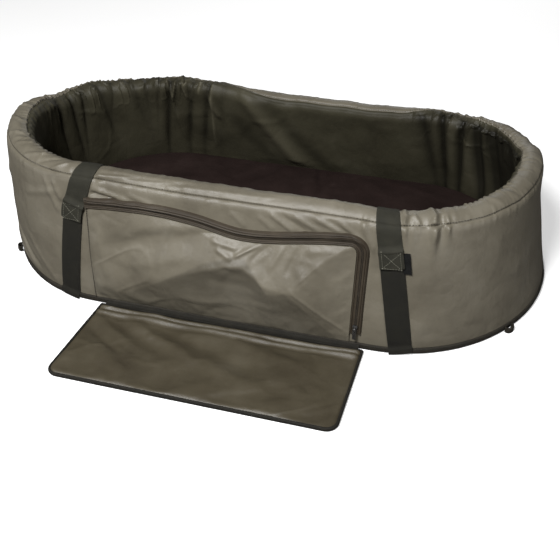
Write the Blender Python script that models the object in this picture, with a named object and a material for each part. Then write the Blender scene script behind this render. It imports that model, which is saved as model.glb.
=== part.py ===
"""A padded folding unhooking mat: an oval foam cradle with a pocket and a fold-out kneeling mat.

Units are metres. +X runs along the mat, -Y is the pocket side, +Z is up. The origin is the
middle of the underside. The two long walls fold inwards on hinges at their feet, the kneeling
mat folds up against the pocket, and the zip slider runs up the pocket's right-hand side.
"""

import math

import bmesh
import bpy
from mathutils import Vector

# Outline of the base, seen from above: a straight run with an elliptical end on each side
STRAIGHT_HALF = 0.265
END_REACH = 0.280
HALF_WIDTH = 0.312

# Walls
WALL_THICKNESS = 0.050
WALL_HEIGHT = 0.265
END_RISE = 0.004
BACK_DROP = 0.038
FRONT_RIM_INSET = 0.014
END_RIM_INSET = 0.005
BACK_RIM_INSET = 0.062
WALL_HALF_LENGTH = 0.350
WALL_FOOT_ROUND = 0.015
HINGE_RISE = 0.022
RIM_DROP = 0.032
LINING_RISE = 0.016

# Cloth thicknesses and the gaps that sewn or touching pieces keep
CLEARANCE = 0.0003
FOAM_SLACK = 0.0006
COVER_CLOTH = 0.0022
WEBBING_CLOTH = 0.0018
STRAP_GAP = 0.0009

# Base
GROUNDSHEET_CLOTH = 0.0020
FLOOR_FOAM = 0.0250
FLOOR_COVER = 0.0035
FLOOR_CROWN = 0.0040
FLOOR_CREASE_X = 0.050
CREASE_WIDTH = 0.036
CREASE_DEPTH = 0.0022
FLOOR_EDGE_GAP = 0.004
BINDING_WIDTH = 0.0040
BINDING_LOW = 0.0010
BINDING_TOP = 0.0130
SIDE_BAND_CLOTH = 0.0020

# Pocket and zip
POCKET_LEFT_X = -0.262
POCKET_DROP = 0.050
POCKET_FOOT_GAP = 0.0030
POCKET_SEAM = 0.0006
POCKET_COLUMN = 0.024
POCKET_BULGE = 0.0200
ZIP_STAND_OFF = 0.0040
GUSSET_WIDTH = 0.020
CHAIN_WIDTH = 0.0065
CHAIN_THICKNESS = 0.0020
FLAP_CLOTH = 0.0016
ZIP_CORNER = 0.022
ZIP_TOP_X = 0.244
ZIP_FOOT_X = 0.238
ZIP_FOOT_Z = 0.036
SLIDER_LENGTH = 0.014
SLIDER_WIDTH = 0.010
SLIDER_THICKNESS = 0.0034
SLIDER_START = 0.012
BRIDGE_WIDTH = 0.0018
BRIDGE_INNER = 0.0013
BRIDGE_WALL = 0.0011
PULLER_LENGTH = 0.022
PULLER_WIDTH = 0.0070
PULLER_THICKNESS = 0.0012
PULLER_BAR = 0.0012
PULLER_WINDOW_WIDTH = 0.0036
PULLER_WINDOW_HEIGHT = 0.0052

# Webbing
STRAP_WIDTH = 0.040
STRAP_BOX_X = 0.2915
STRAP_BOX_DROP = 0.076
STRAP_FOOT_X = 0.317
LEFT_STRAP_TOP_X = 0.262
RIGHT_STRAP_TOP_X = 0.277
STRAP_WRAP_END = 0.006
HANDLE_DROP = 0.118
HANDLE_GAP = 0.0006
TAB_WIDTH = 0.010
TAB_HEIGHT = 0.030
TAB_CLOTH = 0.0014
LOOP_HALF_WIDTH = 0.010
LOOP_REACH = 0.015
LOOP_CLOTH = 0.0024
LOOP_HEIGHT = 0.011
LOOP_X_SHARE = 0.8036

# Kneeling mat
KNEEL_HALF_WIDTH = 0.2490
KNEEL_CENTRE_X = 0.0040
KNEEL_DEPTH = 0.212
KNEEL_OFFSET = 0.014
KNEEL_THICKNESS = 0.0098
KNEEL_CROWN = 0.0030
KNEEL_CORNER = 0.022
KNEEL_BINDING = 0.0060
KNEEL_CLOTH = 0.0014
STRIP_CLOTH = 0.0014

# Shares that shape the soft pieces
FOOT_TURN_SHARE = 0.33
BULGE_RISE_SHARE = 0.30
BULGE_FALL_SHARE = 0.20
BULGE_AT_ZIP_SHARE = 0.45
BULGE_AT_FOOT_SHARE = 0.12
LIFT_RISE_SHARE = 0.12
LIFT_AT_FOOT_SHARE = 0.35
POCKET_SLANT_SHARE = 0.35
HANDLE_LEG_SHARE = 0.12
LOOP_LEG_SHARE = 0.4
SLIDER_SHOULDER_SHARE = 0.8
SLIDER_EDGE_SHARE = 0.6
KNEEL_RING_SHARES = (1.0, 0.82, 0.55, 0.25)

# Counts of facets
END_STATIONS = 22
RIM_STEPS = 8
FOOT_STEPS = 3
OUTLINE_STEPS = 20
SLANT_STEPS = 5
UPPER_STEPS = 3

FRONT_HEIGHT = WALL_HEIGHT
END_HEIGHT = WALL_HEIGHT + END_RISE
BACK_HEIGHT = WALL_HEIGHT - BACK_DROP
POCKET_TOP_Z = FRONT_HEIGHT - POCKET_DROP
STRAP_BOX_Z = FRONT_HEIGHT - STRAP_BOX_DROP
FOOT_Z = GROUNDSHEET_CLOTH + FLOOR_FOAM + 2 * CLEARANCE
HINGE_Z = FOOT_Z + HINGE_RISE
HINGE_Y = HALF_WIDTH - WALL_THICKNESS
GUSSET_FACE_Y = -(HALF_WIDTH + ZIP_STAND_OFF)
KNEEL_HINGE_Y = -(HALF_WIDTH + KNEEL_OFFSET)
KNEEL_HINGE_Z = KNEEL_THICKNESS + CLEARANCE

COLOURS = {
    "coated_nylon": ((0.150, 0.138, 0.112), 0.42, 0.0),
    "lining_nylon": ((0.055, 0.053, 0.040), 0.50, 0.0),
    "floor_mesh": ((0.040, 0.026, 0.024), 0.85, 0.0),
    "foam": ((0.20, 0.20, 0.20), 0.95, 0.0),
    "webbing": ((0.036, 0.038, 0.030), 0.75, 0.0),
    "binding": ((0.022, 0.022, 0.019), 0.70, 0.0),
    "kneel_nylon": ((0.085, 0.077, 0.058), 0.40, 0.0),
    "groundsheet": ((0.030, 0.030, 0.028), 0.60, 0.0),
    "zip_coil": ((0.030, 0.026, 0.022), 0.45, 0.0),
    "slider_metal": ((0.090, 0.090, 0.090), 0.35, 0.9),
    "label": ((0.012, 0.012, 0.012), 0.60, 0.0),
}


def clear_scene():
    for obj in list(bpy.data.objects):
        bpy.data.objects.remove(obj, do_unlink=True)


def material(name):
    found = bpy.data.materials.get(name)
    if found:
        return found
    colour, roughness, metallic = COLOURS[name]
    made = bpy.data.materials.new(name)
    made.use_nodes = True
    shader = made.node_tree.nodes["Principled BSDF"]
    shader.inputs["Base Color"].default_value = (*colour, 1.0)
    shader.inputs["Roughness"].default_value = roughness
    shader.inputs["Metallic"].default_value = metallic
    return made


def place(name, mesh_builder, finish, pivot=(0.0, 0.0, 0.0), parent=None, smooth=True):
    """Turns a bmesh in world coordinates into an object whose origin is its pivot."""
    bmesh.ops.recalc_face_normals(mesh_builder, faces=mesh_builder.faces)
    bmesh.ops.translate(mesh_builder, verts=mesh_builder.verts, vec=-Vector(pivot))
    mesh = bpy.data.meshes.new(name)
    mesh_builder.to_mesh(mesh)
    mesh_builder.free()
    mesh.materials.append(material(finish))
    if smooth:
        mesh.shade_smooth()
        mesh.set_sharp_from_angle(angle=math.radians(40))
    obj = bpy.data.objects.new(name, mesh)
    bpy.context.scene.collection.objects.link(obj)
    obj.location = pivot
    if parent:
        bpy.context.view_layer.update()
        obj.parent = parent
        obj.matrix_parent_inverse = parent.matrix_world.inverted()
    return obj


def joint_empty(name, location, parent=None):
    empty = bpy.data.objects.new(name, None)
    empty.empty_display_size = WALL_THICKNESS
    bpy.context.scene.collection.objects.link(empty)
    empty.location = location
    bpy.context.view_layer.update()
    if parent:
        empty.parent = parent
        empty.matrix_parent_inverse = parent.matrix_world.inverted()
    return empty


def smooth_share(t):
    t = min(max(t, 0.0), 1.0)
    return t * t * (3.0 - 2.0 * t)


def mix(a, b, share):
    return a + (b - a) * share


def swept(sections, closed=False):
    """A closed mesh through equal loops of points: capped at its ends, or joined into a ring."""
    made = bmesh.new()
    rings = [[made.verts.new(point) for point in section] for section in sections]
    count = len(rings[0])
    pairs = list(zip(rings, rings[1:]))
    if closed:
        pairs.append((rings[-1], rings[0]))
    for one, two in pairs:
        for i in range(count):
            j = (i + 1) % count
            made.faces.new((one[i], one[j], two[j], two[i]))
    if not closed:
        made.faces.new(rings[0])
        made.faces.new(list(reversed(rings[-1])))
    return made


def box_section(a, b, low, high):
    """The four corners of an upright strip between two places seen from above."""
    return [(a[0], a[1], low), (b[0], b[1], low), (b[0], b[1], high), (a[0], a[1], high)]


def plate(points, low, high):
    """An upright prism over an outline of (x, y) points."""
    made = bmesh.new()
    bottom = [made.verts.new((x, y, low)) for x, y in points]
    top = [made.verts.new((x, y, high)) for x, y in points]
    made.faces.new(list(reversed(bottom)))
    made.faces.new(top)
    for i in range(len(points)):
        j = (i + 1) % len(points)
        made.faces.new((bottom[i], bottom[j], top[j], top[i]))
    return made


def sheet(columns, rows, front, back):
    """A closed thin solid from two point functions of (column share, row share)."""
    made = bmesh.new()
    grids = []
    for side in (front, back):
        grid = []
        for i in range(columns + 1):
            line = [side(i / columns, j / rows) for j in range(rows + 1)]
            grid.append([made.verts.new(point) for point in line])
        grids.append(grid)
    near, far = grids
    for i in range(columns):
        for j in range(rows):
            made.faces.new((near[i][j], near[i + 1][j], near[i + 1][j + 1], near[i][j + 1]))
            made.faces.new((far[i][j], far[i][j + 1], far[i + 1][j + 1], far[i + 1][j]))
    for i in range(columns):
        for j in (0, rows):
            made.faces.new((near[i][j], far[i][j], far[i + 1][j], near[i + 1][j]))
    for j in range(rows):
        for i in (0, columns):
            made.faces.new((near[i][j], near[i][j + 1], far[i][j + 1], far[i][j]))
    return made


def boolean(obj, tool, operation):
    tool.hide_render = True
    tool.display_type = "WIRE"
    modifier = obj.modifiers.new(operation.lower(), "BOOLEAN")
    modifier.operation = operation
    modifier.solver = "EXACT"
    modifier.object = tool


def base_half_width(x, inset=0.0):
    """Half the base's width at a place along the mat."""
    past = abs(x) - STRAIGHT_HALF
    if past <= 0.0:
        return HALF_WIDTH - inset
    reach = END_REACH - inset
    return (HALF_WIDTH - inset) * math.sqrt(max(0.0, 1.0 - (past / reach) ** 2))


def end_point(angle, side, offset=0.0):
    """A point of the rounded end, moved outwards by an offset, with its outward direction."""
    x = END_REACH * math.cos(angle)
    y = HALF_WIDTH * math.sin(angle)
    outward = Vector((x / END_REACH**2, y / HALF_WIDTH**2)).normalized()
    point = Vector((x + STRAIGHT_HALF, y)) + outward * offset
    return Vector((point.x * side, point.y)), Vector((outward.x * side, outward.y))


def base_outline(offset=0.0):
    """The closed outline of the base, anticlockwise from the front right."""
    points = []
    for side in (1, -1):
        for step in range(OUTLINE_STEPS + 1):
            angle = math.pi * (step / OUTLINE_STEPS - 0.5) * side
            point, outward = end_point(angle, side, offset)
            points.append((point, outward))
    return points


def ring_around_base(low, high, inner, outer):
    """A band round the base between two heights and two offsets from the outline."""
    inside = base_outline(inner)
    outside = base_outline(outer)
    sections = [box_section(a, b, low, high) for (a, _), (b, _) in zip(inside, outside)]
    return swept(sections, closed=True)


class Station:
    """One place along a wall: its foot, outward direction, the shift of its rim and its height."""

    def __init__(self, foot, outward, lean, height):
        self.foot = foot
        self.outward = outward
        self.lean = lean
        self.height = height

    def point(self, inwards, z):
        rise = max(0.0, (z - FOOT_Z) / (self.height - FOOT_Z))
        flat = self.foot - self.outward * inwards + self.lean * rise
        return (flat.x, flat.y, z)


def long_wall_stations(side):
    """Stations along a long wall, closer together where its ends begin to curve."""
    curve_steps = 4
    bend = WALL_HALF_LENGTH - STRAIGHT_HALF
    right = [STRAIGHT_HALF + bend * i / curve_steps for i in range(curve_steps + 1)]
    places = [-x for x in reversed(right)] + right
    lean, height = (FRONT_RIM_INSET, FRONT_HEIGHT) if side < 0 else (BACK_RIM_INSET, BACK_HEIGHT)
    stations = []
    for x in places:
        foot = Vector((x, side * base_half_width(x)))
        outward = Vector((0.0, float(side)))
        stations.append(Station(foot, outward, -outward * lean, height))
    return stations


def end_wall_stations(side):
    """Stations round one end, from the front wall's end to the back wall's."""
    start = math.acos((WALL_HALF_LENGTH + CLEARANCE - STRAIGHT_HALF) / END_REACH)
    stations = []
    for step in range(END_STATIONS + 1):
        share = step / END_STATIONS
        foot, outward = end_point(mix(-start, start, share), side)
        to_end = smooth_share(share * 2)
        to_back = smooth_share(share * 2 - 1)
        height = mix(mix(FRONT_HEIGHT, END_HEIGHT, to_end), BACK_HEIGHT, to_back)
        lean_y = mix(FRONT_RIM_INSET, 0.0, to_end) - BACK_RIM_INSET * to_back
        lean = Vector((-side * END_RIM_INSET * (to_end - to_back), lean_y))
        if step in (0, END_STATIONS):
            outward = Vector((0.0, math.copysign(1.0, foot.y)))
        stations.append(Station(foot, outward, lean, height))
    return stations


def arch(height, margin):
    """(inwards, z) points over the rim, from the outer side to the inner one."""
    middle = WALL_THICKNESS / 2
    radius = middle - margin
    points = []
    for step in range(RIM_STEPS + 1):
        angle = math.pi * step / RIM_STEPS
        points.append((middle - radius * math.cos(angle), height - middle + radius * math.sin(angle)))
    return points


def foam_section(station):
    margin = COVER_CLOTH + FOAM_SLACK
    points = arch(station.height, margin)
    inner = WALL_THICKNESS - margin
    turn = WALL_FOOT_ROUND - margin
    for step in range(FOOT_STEPS + 1):
        angle = math.pi / 2 * step / FOOT_STEPS
        across = inner - turn + turn * math.cos(angle)
        points.append((across, FOOT_Z + turn - turn * math.sin(angle)))
    outer_turn = WALL_FOOT_ROUND * FOOT_TURN_SHARE
    points.append((margin + outer_turn, FOOT_Z))
    points.append((margin, FOOT_Z + outer_turn))
    return points


def outer_section(station):
    top = station.height - RIM_DROP - CLEARANCE
    return [(0.0, FOOT_Z), (COVER_CLOTH, FOOT_Z), (COVER_CLOTH, top), (0.0, top)]


def lining_section(station):
    top = station.height - RIM_DROP - CLEARANCE
    low = FOOT_Z + LINING_RISE
    outer = WALL_THICKNESS - COVER_CLOTH
    return [(outer, low), (WALL_THICKNESS, low), (WALL_THICKNESS, top), (outer, top)]


def rim_section(station):
    foot = station.height - RIM_DROP
    over = arch(station.height, 0.0)
    under = arch(station.height, COVER_CLOTH)
    points = [(0.0, foot)] + over + [(WALL_THICKNESS, foot)]
    points += [(WALL_THICKNESS - COVER_CLOTH, foot)] + list(reversed(under)) + [(COVER_CLOTH, foot)]
    return points


def wall_piece(stations, section):
    return swept([[s.point(u, z) for u, z in section(s)] for s in stations])


def build_wall(prefix, stations, pivot=(0.0, 0.0, 0.0), parent=None):
    """The foam slab of one wall, its outer cover, its lining and the band sewn over its rim."""
    layers = (
        ("foam", foam_section, "foam"),
        ("outer_cover", outer_section, "coated_nylon"),
        ("lining", lining_section, "lining_nylon"),
        ("rim_band", rim_section, "coated_nylon"),
    )
    for name, section, finish in layers:
        place(f"{prefix}_{name}", wall_piece(stations, section), finish, pivot, parent)


def build_base():
    outline = [(p.x, p.y) for p, _ in base_outline()]
    place("groundsheet", plate(outline, 0.0, GROUNDSHEET_CLOTH), "groundsheet", smooth=False)
    low = GROUNDSHEET_CLOTH + CLEARANCE
    inset = SIDE_BAND_CLOTH + 2 * CLEARANCE
    foam_outline = [(p.x, p.y) for p, _ in base_outline(-inset)]
    for name, side in (("floor_foam_left", -1), ("floor_foam_right", 1)):
        cut = FLOOR_CREASE_X + side * CLEARANCE
        half = [p for p in foam_outline if (p[0] - cut) * side > 0]
        first = max(range(len(half)), key=lambda i: math.dist(half[i], half[i - 1]))
        half = half[first:] + half[:first]
        edge = HALF_WIDTH - inset
        half.append((cut, side * edge))
        half.append((cut, -side * edge))
        place(name, plate(half, low, low + FLOOR_FOAM), "foam", smooth=False)
    band_low = BINDING_TOP + CLEARANCE
    band_high = FOOT_Z - CLEARANCE
    band = ring_around_base(band_low, band_high, -SIDE_BAND_CLOTH, 0.0)
    place("base_side_band", band, "coated_nylon")
    binding = ring_around_base(BINDING_LOW, BINDING_TOP, CLEARANCE, BINDING_WIDTH)
    place("base_binding", binding, "binding")


def floor_point(across, along, top):
    """A point of the floor cover: drawn down at its edge and along the fold."""
    inset = WALL_THICKNESS + FLOOR_EDGE_GAP
    reach = STRAIGHT_HALF + END_REACH - inset
    x = mix(-reach, reach, along)
    width = max(base_half_width(x, inset), FLOOR_EDGE_GAP)
    y = mix(-width, width, across)
    low = FOOT_Z
    if not top:
        return (x, y, low)
    round_share = max(0.0, 1.0 - (2.0 * across - 1.0) ** 4) * max(0.0, 1.0 - (x / reach) ** 8)
    crease_share = max(0.0, 1.0 - abs(x - FLOOR_CREASE_X) / (CREASE_WIDTH / 2))
    z = low + FLOOR_COVER + FLOOR_CROWN * round_share - CREASE_DEPTH * smooth_share(crease_share)
    return (x, y, z)


def floor_places():
    """Shares along the floor cover, closer together at the fold and at the rounded ends."""
    reach = STRAIGHT_HALF + END_REACH - WALL_THICKNESS - FLOOR_EDGE_GAP
    fold = [FLOOR_CREASE_X + CREASE_WIDTH * step / 4 for step in (-2, -1, 0, 1, 2)]
    ends = [reach * math.sin(math.pi / 2 * step / 8) for step in (4, 5, 6, 7, 8)]
    places = [-x for x in reversed(ends)] + [-STRAIGHT_HALF * 2 / 3, -STRAIGHT_HALF / 4] + fold
    places += [STRAIGHT_HALF / 2] + ends
    places = sorted(places)
    return [(x + reach) / (2 * reach) for x in places]


def build_floor_cover():
    shares = floor_places()
    columns = len(shares) - 1
    rows = 10

    def top(i, j):
        return floor_point(j, shares[round(i * columns)], True)

    def under(i, j):
        return floor_point(j, shares[round(i * columns)], False)

    place("floor_cover", sheet(columns, rows, top, under), "floor_mesh")


def panel_y(z):
    """The outer face of the front wall's cover at a height."""
    rise = max(0.0, (z - FOOT_Z) / (FRONT_HEIGHT - FOOT_Z))
    return FRONT_RIM_INSET * rise - HALF_WIDTH


def zip_route():
    """The zip's run in the wall's plane: along the pocket's top, round its corner and down."""
    top = POCKET_TOP_Z
    dip = ZIP_CORNER / 2
    left = POCKET_LEFT_X + GUSSET_WIDTH
    run = ZIP_TOP_X - left
    dip_shares = ((0.0, 0.0), (0.21, 0.0), (0.34, 0.3), (0.45, 1.0), (0.60, 1.0), (0.80, 0.35))
    route = [Vector((left + run * x, top - dip * d)) for x, d in dip_shares]
    centre = Vector((ZIP_TOP_X - ZIP_CORNER, top - ZIP_CORNER))
    for step in range(6):
        angle = math.pi / 2 * (1 - step / 5)
        route.append(centre + Vector((math.cos(angle), math.sin(angle))) * ZIP_CORNER)
    route.append(Vector((ZIP_FOOT_X, ZIP_FOOT_Z)))
    return route


def beside(route, offset):
    """The route moved sideways, to its right when positive."""
    moved = []
    for i, point in enumerate(route):
        before = route[max(i - 1, 0)]
        after = route[min(i + 1, len(route) - 1)]
        ahead = (after - before).normalized()
        moved.append(point + Vector((ahead.y, -ahead.x)) * offset)
    return moved


def band_on_route(route, left, right, front, back):
    """A band that follows the route, between two side offsets and two depths."""
    sections = []
    for a, b in zip(beside(route, left), beside(route, right)):
        sections.append(
            [
                (a.x, front(a.y), a.y),
                (b.x, front(b.y), b.y),
                (b.x, back(b.y), b.y),
                (a.x, back(a.y), a.y),
            ]
        )
    return swept(sections)


def pocket_top_edge(route):
    """The pocket's top edge, just inside the gusset, in steps of about a column's width."""
    inner = beside(route, GUSSET_WIDTH / 2 + POCKET_SEAM)
    corner_low = POCKET_TOP_Z - ZIP_CORNER - CLEARANCE
    top_run = [p for p, q in zip(inner, route) if q.y > corner_low]
    edge = [top_run[0]]
    for point in top_run[1:]:
        if point.x <= edge[-1].x + CLEARANCE:
            continue
        cuts = max(1, round((point.x - edge[-1].x) / POCKET_COLUMN))
        start = edge[-1]
        edge += [start.lerp(point, cut / cuts) for cut in range(1, cuts + 1)]
    return edge


def build_pocket(parent, pivot):
    route = zip_route()
    edge = pocket_top_edge(route)
    first = edge[0].x
    last = edge[-1].x
    shares = [(point.x - first) / (last - first) for point in edge]
    foot = FOOT_Z + POCKET_FOOT_GAP
    columns = len(edge) - 1
    rows = 9

    def spread(i, j):
        column = round(i * columns)
        z = mix(foot, edge[column].y, j)
        left = mix(POCKET_LEFT_X, first, smooth_share(1 - (1 - j) / POCKET_SLANT_SHARE))
        fall = (POCKET_TOP_Z - ZIP_CORNER - z) / (POCKET_TOP_Z - ZIP_CORNER - ZIP_FOOT_Z)
        right = last - (ZIP_TOP_X - ZIP_FOOT_X) * max(0.0, fall)
        return mix(left, right, shares[column]), z, shares[column]

    def bag_front(i, j):
        x, z, share = spread(i, j)
        rise = smooth_share(share / BULGE_RISE_SHARE)
        fall = smooth_share(1 - (1 - share) / BULGE_FALL_SHARE)
        across = rise * mix(1.0, BULGE_AT_ZIP_SHARE, fall)
        upright = mix(BULGE_AT_FOOT_SHARE, 1.0, math.sin(math.pi * mix(0.06, 0.86, j)) ** 0.9)
        full_lift = panel_y(z) - GUSSET_FACE_Y
        lift = mix(CLEARANCE + COVER_CLOTH, full_lift, smooth_share(share / LIFT_RISE_SHARE))
        lift *= mix(LIFT_AT_FOOT_SHARE, 1.0, j)
        return (x, panel_y(z) - lift - POCKET_BULGE * across * upright, z)

    def bag_back(i, j):
        x, z, _ = spread(i, j)
        return (x, panel_y(z) - CLEARANCE, z)

    place("pocket_bag", sheet(columns, rows, bag_front, bag_back), "coated_nylon", pivot, parent)

    def on_panel(z):
        return panel_y(z) - CLEARANCE

    def gusset_face(_):
        return GUSSET_FACE_Y

    def chain_back(_):
        return GUSSET_FACE_Y - CLEARANCE

    def chain_face(_):
        return GUSSET_FACE_Y - CLEARANCE - CHAIN_THICKNESS

    half = GUSSET_WIDTH / 2
    gusset = band_on_route(route, -half, half, gusset_face, on_panel)
    place("pocket_gusset", gusset, "coated_nylon", pivot, parent)
    chain = band_on_route(route, -CHAIN_WIDTH / 2, CHAIN_WIDTH / 2, chain_face, chain_back)
    place("zip_chain", chain, "zip_coil", pivot, parent)

    def flap_face(_):
        return GUSSET_FACE_Y - CLEARANCE - FLAP_CLOTH

    top_route = [p for p in route if p.y > POCKET_TOP_Z - ZIP_CORNER + CLEARANCE]
    flap_near = -(CHAIN_WIDTH / 2 + CLEARANCE)
    flap_far = -half
    flap = band_on_route(top_route, flap_far, flap_near, flap_face, chain_back)
    place("storm_flap", flap, "coated_nylon", pivot, parent)


def slider_place():
    """Where the slider stands when the zip is shut, and the direction it opens in."""
    foot = Vector((ZIP_FOOT_X, 0.0, ZIP_FOOT_Z))
    top = Vector((ZIP_TOP_X, 0.0, POCKET_TOP_Z - ZIP_CORNER))
    ahead = (top - foot).normalized()
    start = foot + ahead * SLIDER_START
    face = GUSSET_FACE_Y - 2 * CLEARANCE - CHAIN_THICKNESS
    return Vector((start.x, face, start.z)), ahead


def build_slider(parent):
    start, ahead = slider_place()
    across = Vector((ahead.z, 0.0, -ahead.x))
    outward = Vector((0.0, -1.0, 0.0))
    half = SLIDER_LENGTH / 2
    wide = SLIDER_WIDTH / 2
    sections = []
    waist_shares = ((-1.0, 0.62, 0.62), (-0.7, 0.80, 1.0), (0.0, 0.72, 1.0))
    nose_shares = ((0.6, 1.0, 1.0), (1.0, 0.70, 0.62))
    for along, width, depth in waist_shares + nose_shares:
        middle = start + ahead * half * along
        near = across * wide * width
        deep = outward * SLIDER_THICKNESS * depth
        edge = deep * SLIDER_EDGE_SHARE
        shoulder = near * SLIDER_SHOULDER_SHARE
        sections.append(
            [middle - near, middle - near + edge, middle - shoulder + deep]
            + [middle + shoulder + deep, middle + near + edge, middle + near]
        )
    body = place("zip_slider", swept(sections), "slider_metal", tuple(start), parent)
    bar = start + outward * (SLIDER_THICKNESS + BRIDGE_INNER)
    ring = []
    steps = 8
    reach = BRIDGE_INNER + BRIDGE_WALL
    side = across * (BRIDGE_WIDTH / 2)
    for step in range(-1, steps + 2):
        angle = math.pi * min(max(step, 0), steps) / steps
        ray = ahead * math.cos(angle) + outward * math.sin(angle)
        sunk = reach if step in (-1, steps + 1) else 0.0
        inner = bar + ray * BRIDGE_INNER - outward * sunk
        outer = bar + ray * reach - outward * sunk
        ring.append([inner - side, outer - side, outer + side, inner + side])
    bridge = place("slider_bridge_form", swept(ring), "slider_metal", tuple(start), parent)
    boolean(body, bridge, "UNION")
    return bar, ahead, across, outward


def build_puller(parent, bar, ahead, across, outward):
    """A flat tab whose top bar lies under the slider's bridge."""
    thick = outward * (PULLER_THICKNESS / 2)
    top = PULLER_BAR / 2
    wide = PULLER_WIDTH / 2
    outline_shares = ((0.0, 0.75), (0.05, 0.95), (0.35, 1.0), (0.92, 0.85), (1.0, 0.55))
    left = []
    right = []
    for along, width in outline_shares:
        place_on = bar + ahead * (top - PULLER_LENGTH * along)
        left.append(place_on - across * wide * width)
        right.append(place_on + across * wide * width)
    sections = []
    for a, b in zip(left, right):
        sections.append([a - thick, b - thick, b + thick, a + thick])
    puller = place("zip_puller", swept(sections), "slider_metal", tuple(bar), parent)
    side = across * (PULLER_WINDOW_WIDTH / 2)
    upper = bar - ahead * top
    lower = upper - ahead * PULLER_WINDOW_HEIGHT
    window = [upper - side, upper + side, lower + side, lower - side]
    deep = outward * PULLER_WINDOW_HEIGHT
    hole = swept([[corner - deep for corner in window], [corner + deep for corner in window]])
    cutter = place("puller_window_form", hole, "slider_metal", tuple(bar), parent)
    boolean(puller, cutter, "DIFFERENCE")


def rim_path(height):
    """(inwards, z) points from the rim band's outer edge, over the rim and a little down inside."""
    inner_end = height - WALL_THICKNESS / 2 - STRAP_WRAP_END
    return [(0.0, height - RIM_DROP)] + arch(height, 0.0) + [(WALL_THICKNESS, inner_end)]


def bend_shift(x):
    """How far the wall's face has curved inwards at a place along it."""
    return HALF_WIDTH - base_half_width(x)


def strap_loop(centre_x, inner, outer):
    """A strap's cross-section at one height, bent to the wall: points are (y, z) pairs."""
    across_shares = (-0.5, 0.0, 0.5)
    places = [centre_x + STRAP_WIDTH * share for share in across_shares]
    near = [(x, inner[0] + bend_shift(x), inner[1]) for x in places]
    far = [(x, outer[0] + bend_shift(x), outer[1]) for x in reversed(places)]
    return near + far


def offset_path(points, distance):
    """Points of a (y, z) path moved square to it."""
    moved = []
    for i, point in enumerate(points):
        before = points[max(i - 1, 0)]
        after = points[min(i + 1, len(points) - 1)]
        ahead = (after - before).normalized()
        moved.append(point + Vector((-ahead.y, ahead.x)) * distance)
    return moved


def front_face_path(low):
    """(y, z) points up the front cover from a height, over the rim and down inside."""
    rim_foot = FRONT_HEIGHT - RIM_DROP
    heights = [mix(low, STRAP_BOX_Z, step / SLANT_STEPS) for step in range(SLANT_STEPS)]
    heights += [mix(STRAP_BOX_Z, rim_foot, step / UPPER_STEPS) for step in range(UPPER_STEPS)]
    path = [Vector((panel_y(z), z)) for z in heights]
    for inwards, z in rim_path(FRONT_HEIGHT):
        path.append(Vector((panel_y(z) + inwards, z)))
    return path


def build_front_strap(name, side, top_x, parent, pivot):
    """A webbing strap: the lower run slants out to the base, the upper one goes over the rim."""
    low = FOOT_Z + STRAP_GAP
    path = front_face_path(low)
    near = offset_path(path, STRAP_GAP)
    far = offset_path(path, STRAP_GAP + WEBBING_CLOTH)
    sections = []
    for middle, inner, outer in zip(path, near, far):
        if middle.y <= STRAP_BOX_Z:
            share = (middle.y - BINDING_TOP) / (STRAP_BOX_Z - BINDING_TOP)
            x = mix(STRAP_FOOT_X, STRAP_BOX_X, share)
        else:
            share = min(1.0, (middle.y - STRAP_BOX_Z) / (FRONT_HEIGHT - RIM_DROP - STRAP_BOX_Z))
            x = mix(STRAP_BOX_X, top_x, share)
        sections.append(strap_loop(side * x, inner, outer))
    place(name, swept(sections), "webbing", pivot, parent)


def build_strap_feet():
    """The straps' lowest stretches, sewn down to the base in front of its side band."""
    near = -HALF_WIDTH - STRAP_GAP
    far = near - WEBBING_CLOTH
    for label, side in (("left", -1), ("right", 1)):
        sections = []
        for z in (BINDING_TOP + CLEARANCE, FOOT_Z - CLEARANCE):
            share = (z - BINDING_TOP) / (STRAP_BOX_Z - BINDING_TOP)
            x = side * mix(STRAP_FOOT_X, STRAP_BOX_X, share)
            sections.append(strap_loop(x, (near, z), (far, z)))
        place(f"front_strap_foot_{label}", swept(sections), "webbing", smooth=False)


def build_label_tab(parent, pivot):
    """A plain folded tab caught under the right strap's edge."""
    left = STRAP_BOX_X + STRAP_WIDTH / 2 + 2 * CLEARANCE
    middle = STRAP_BOX_Z + CLEARANCE
    sections = []
    for z in (middle - TAB_HEIGHT / 2, middle + TAB_HEIGHT / 2):
        x = left + (STRAP_FOOT_X - STRAP_BOX_X) * (STRAP_BOX_Z - z) / STRAP_BOX_Z
        face = panel_y(z) - STRAP_GAP
        near = face + bend_shift(x)
        far = face + bend_shift(x + TAB_WIDTH)
        ys = (near, far, far - TAB_CLOTH, near - TAB_CLOTH)
        xs = (x, x + TAB_WIDTH, x + TAB_WIDTH, x)
        sections.append([(cx, cy, z) for cx, cy in zip(xs, ys)])
    place("label_tab", swept(sections), "label", pivot, parent, smooth=False)


def rim_centre():
    """The middle of the front rim's round, which the handle swings about."""
    z = FRONT_HEIGHT - WALL_THICKNESS / 2
    return panel_y(z) + WALL_THICKNESS / 2, z


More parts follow.
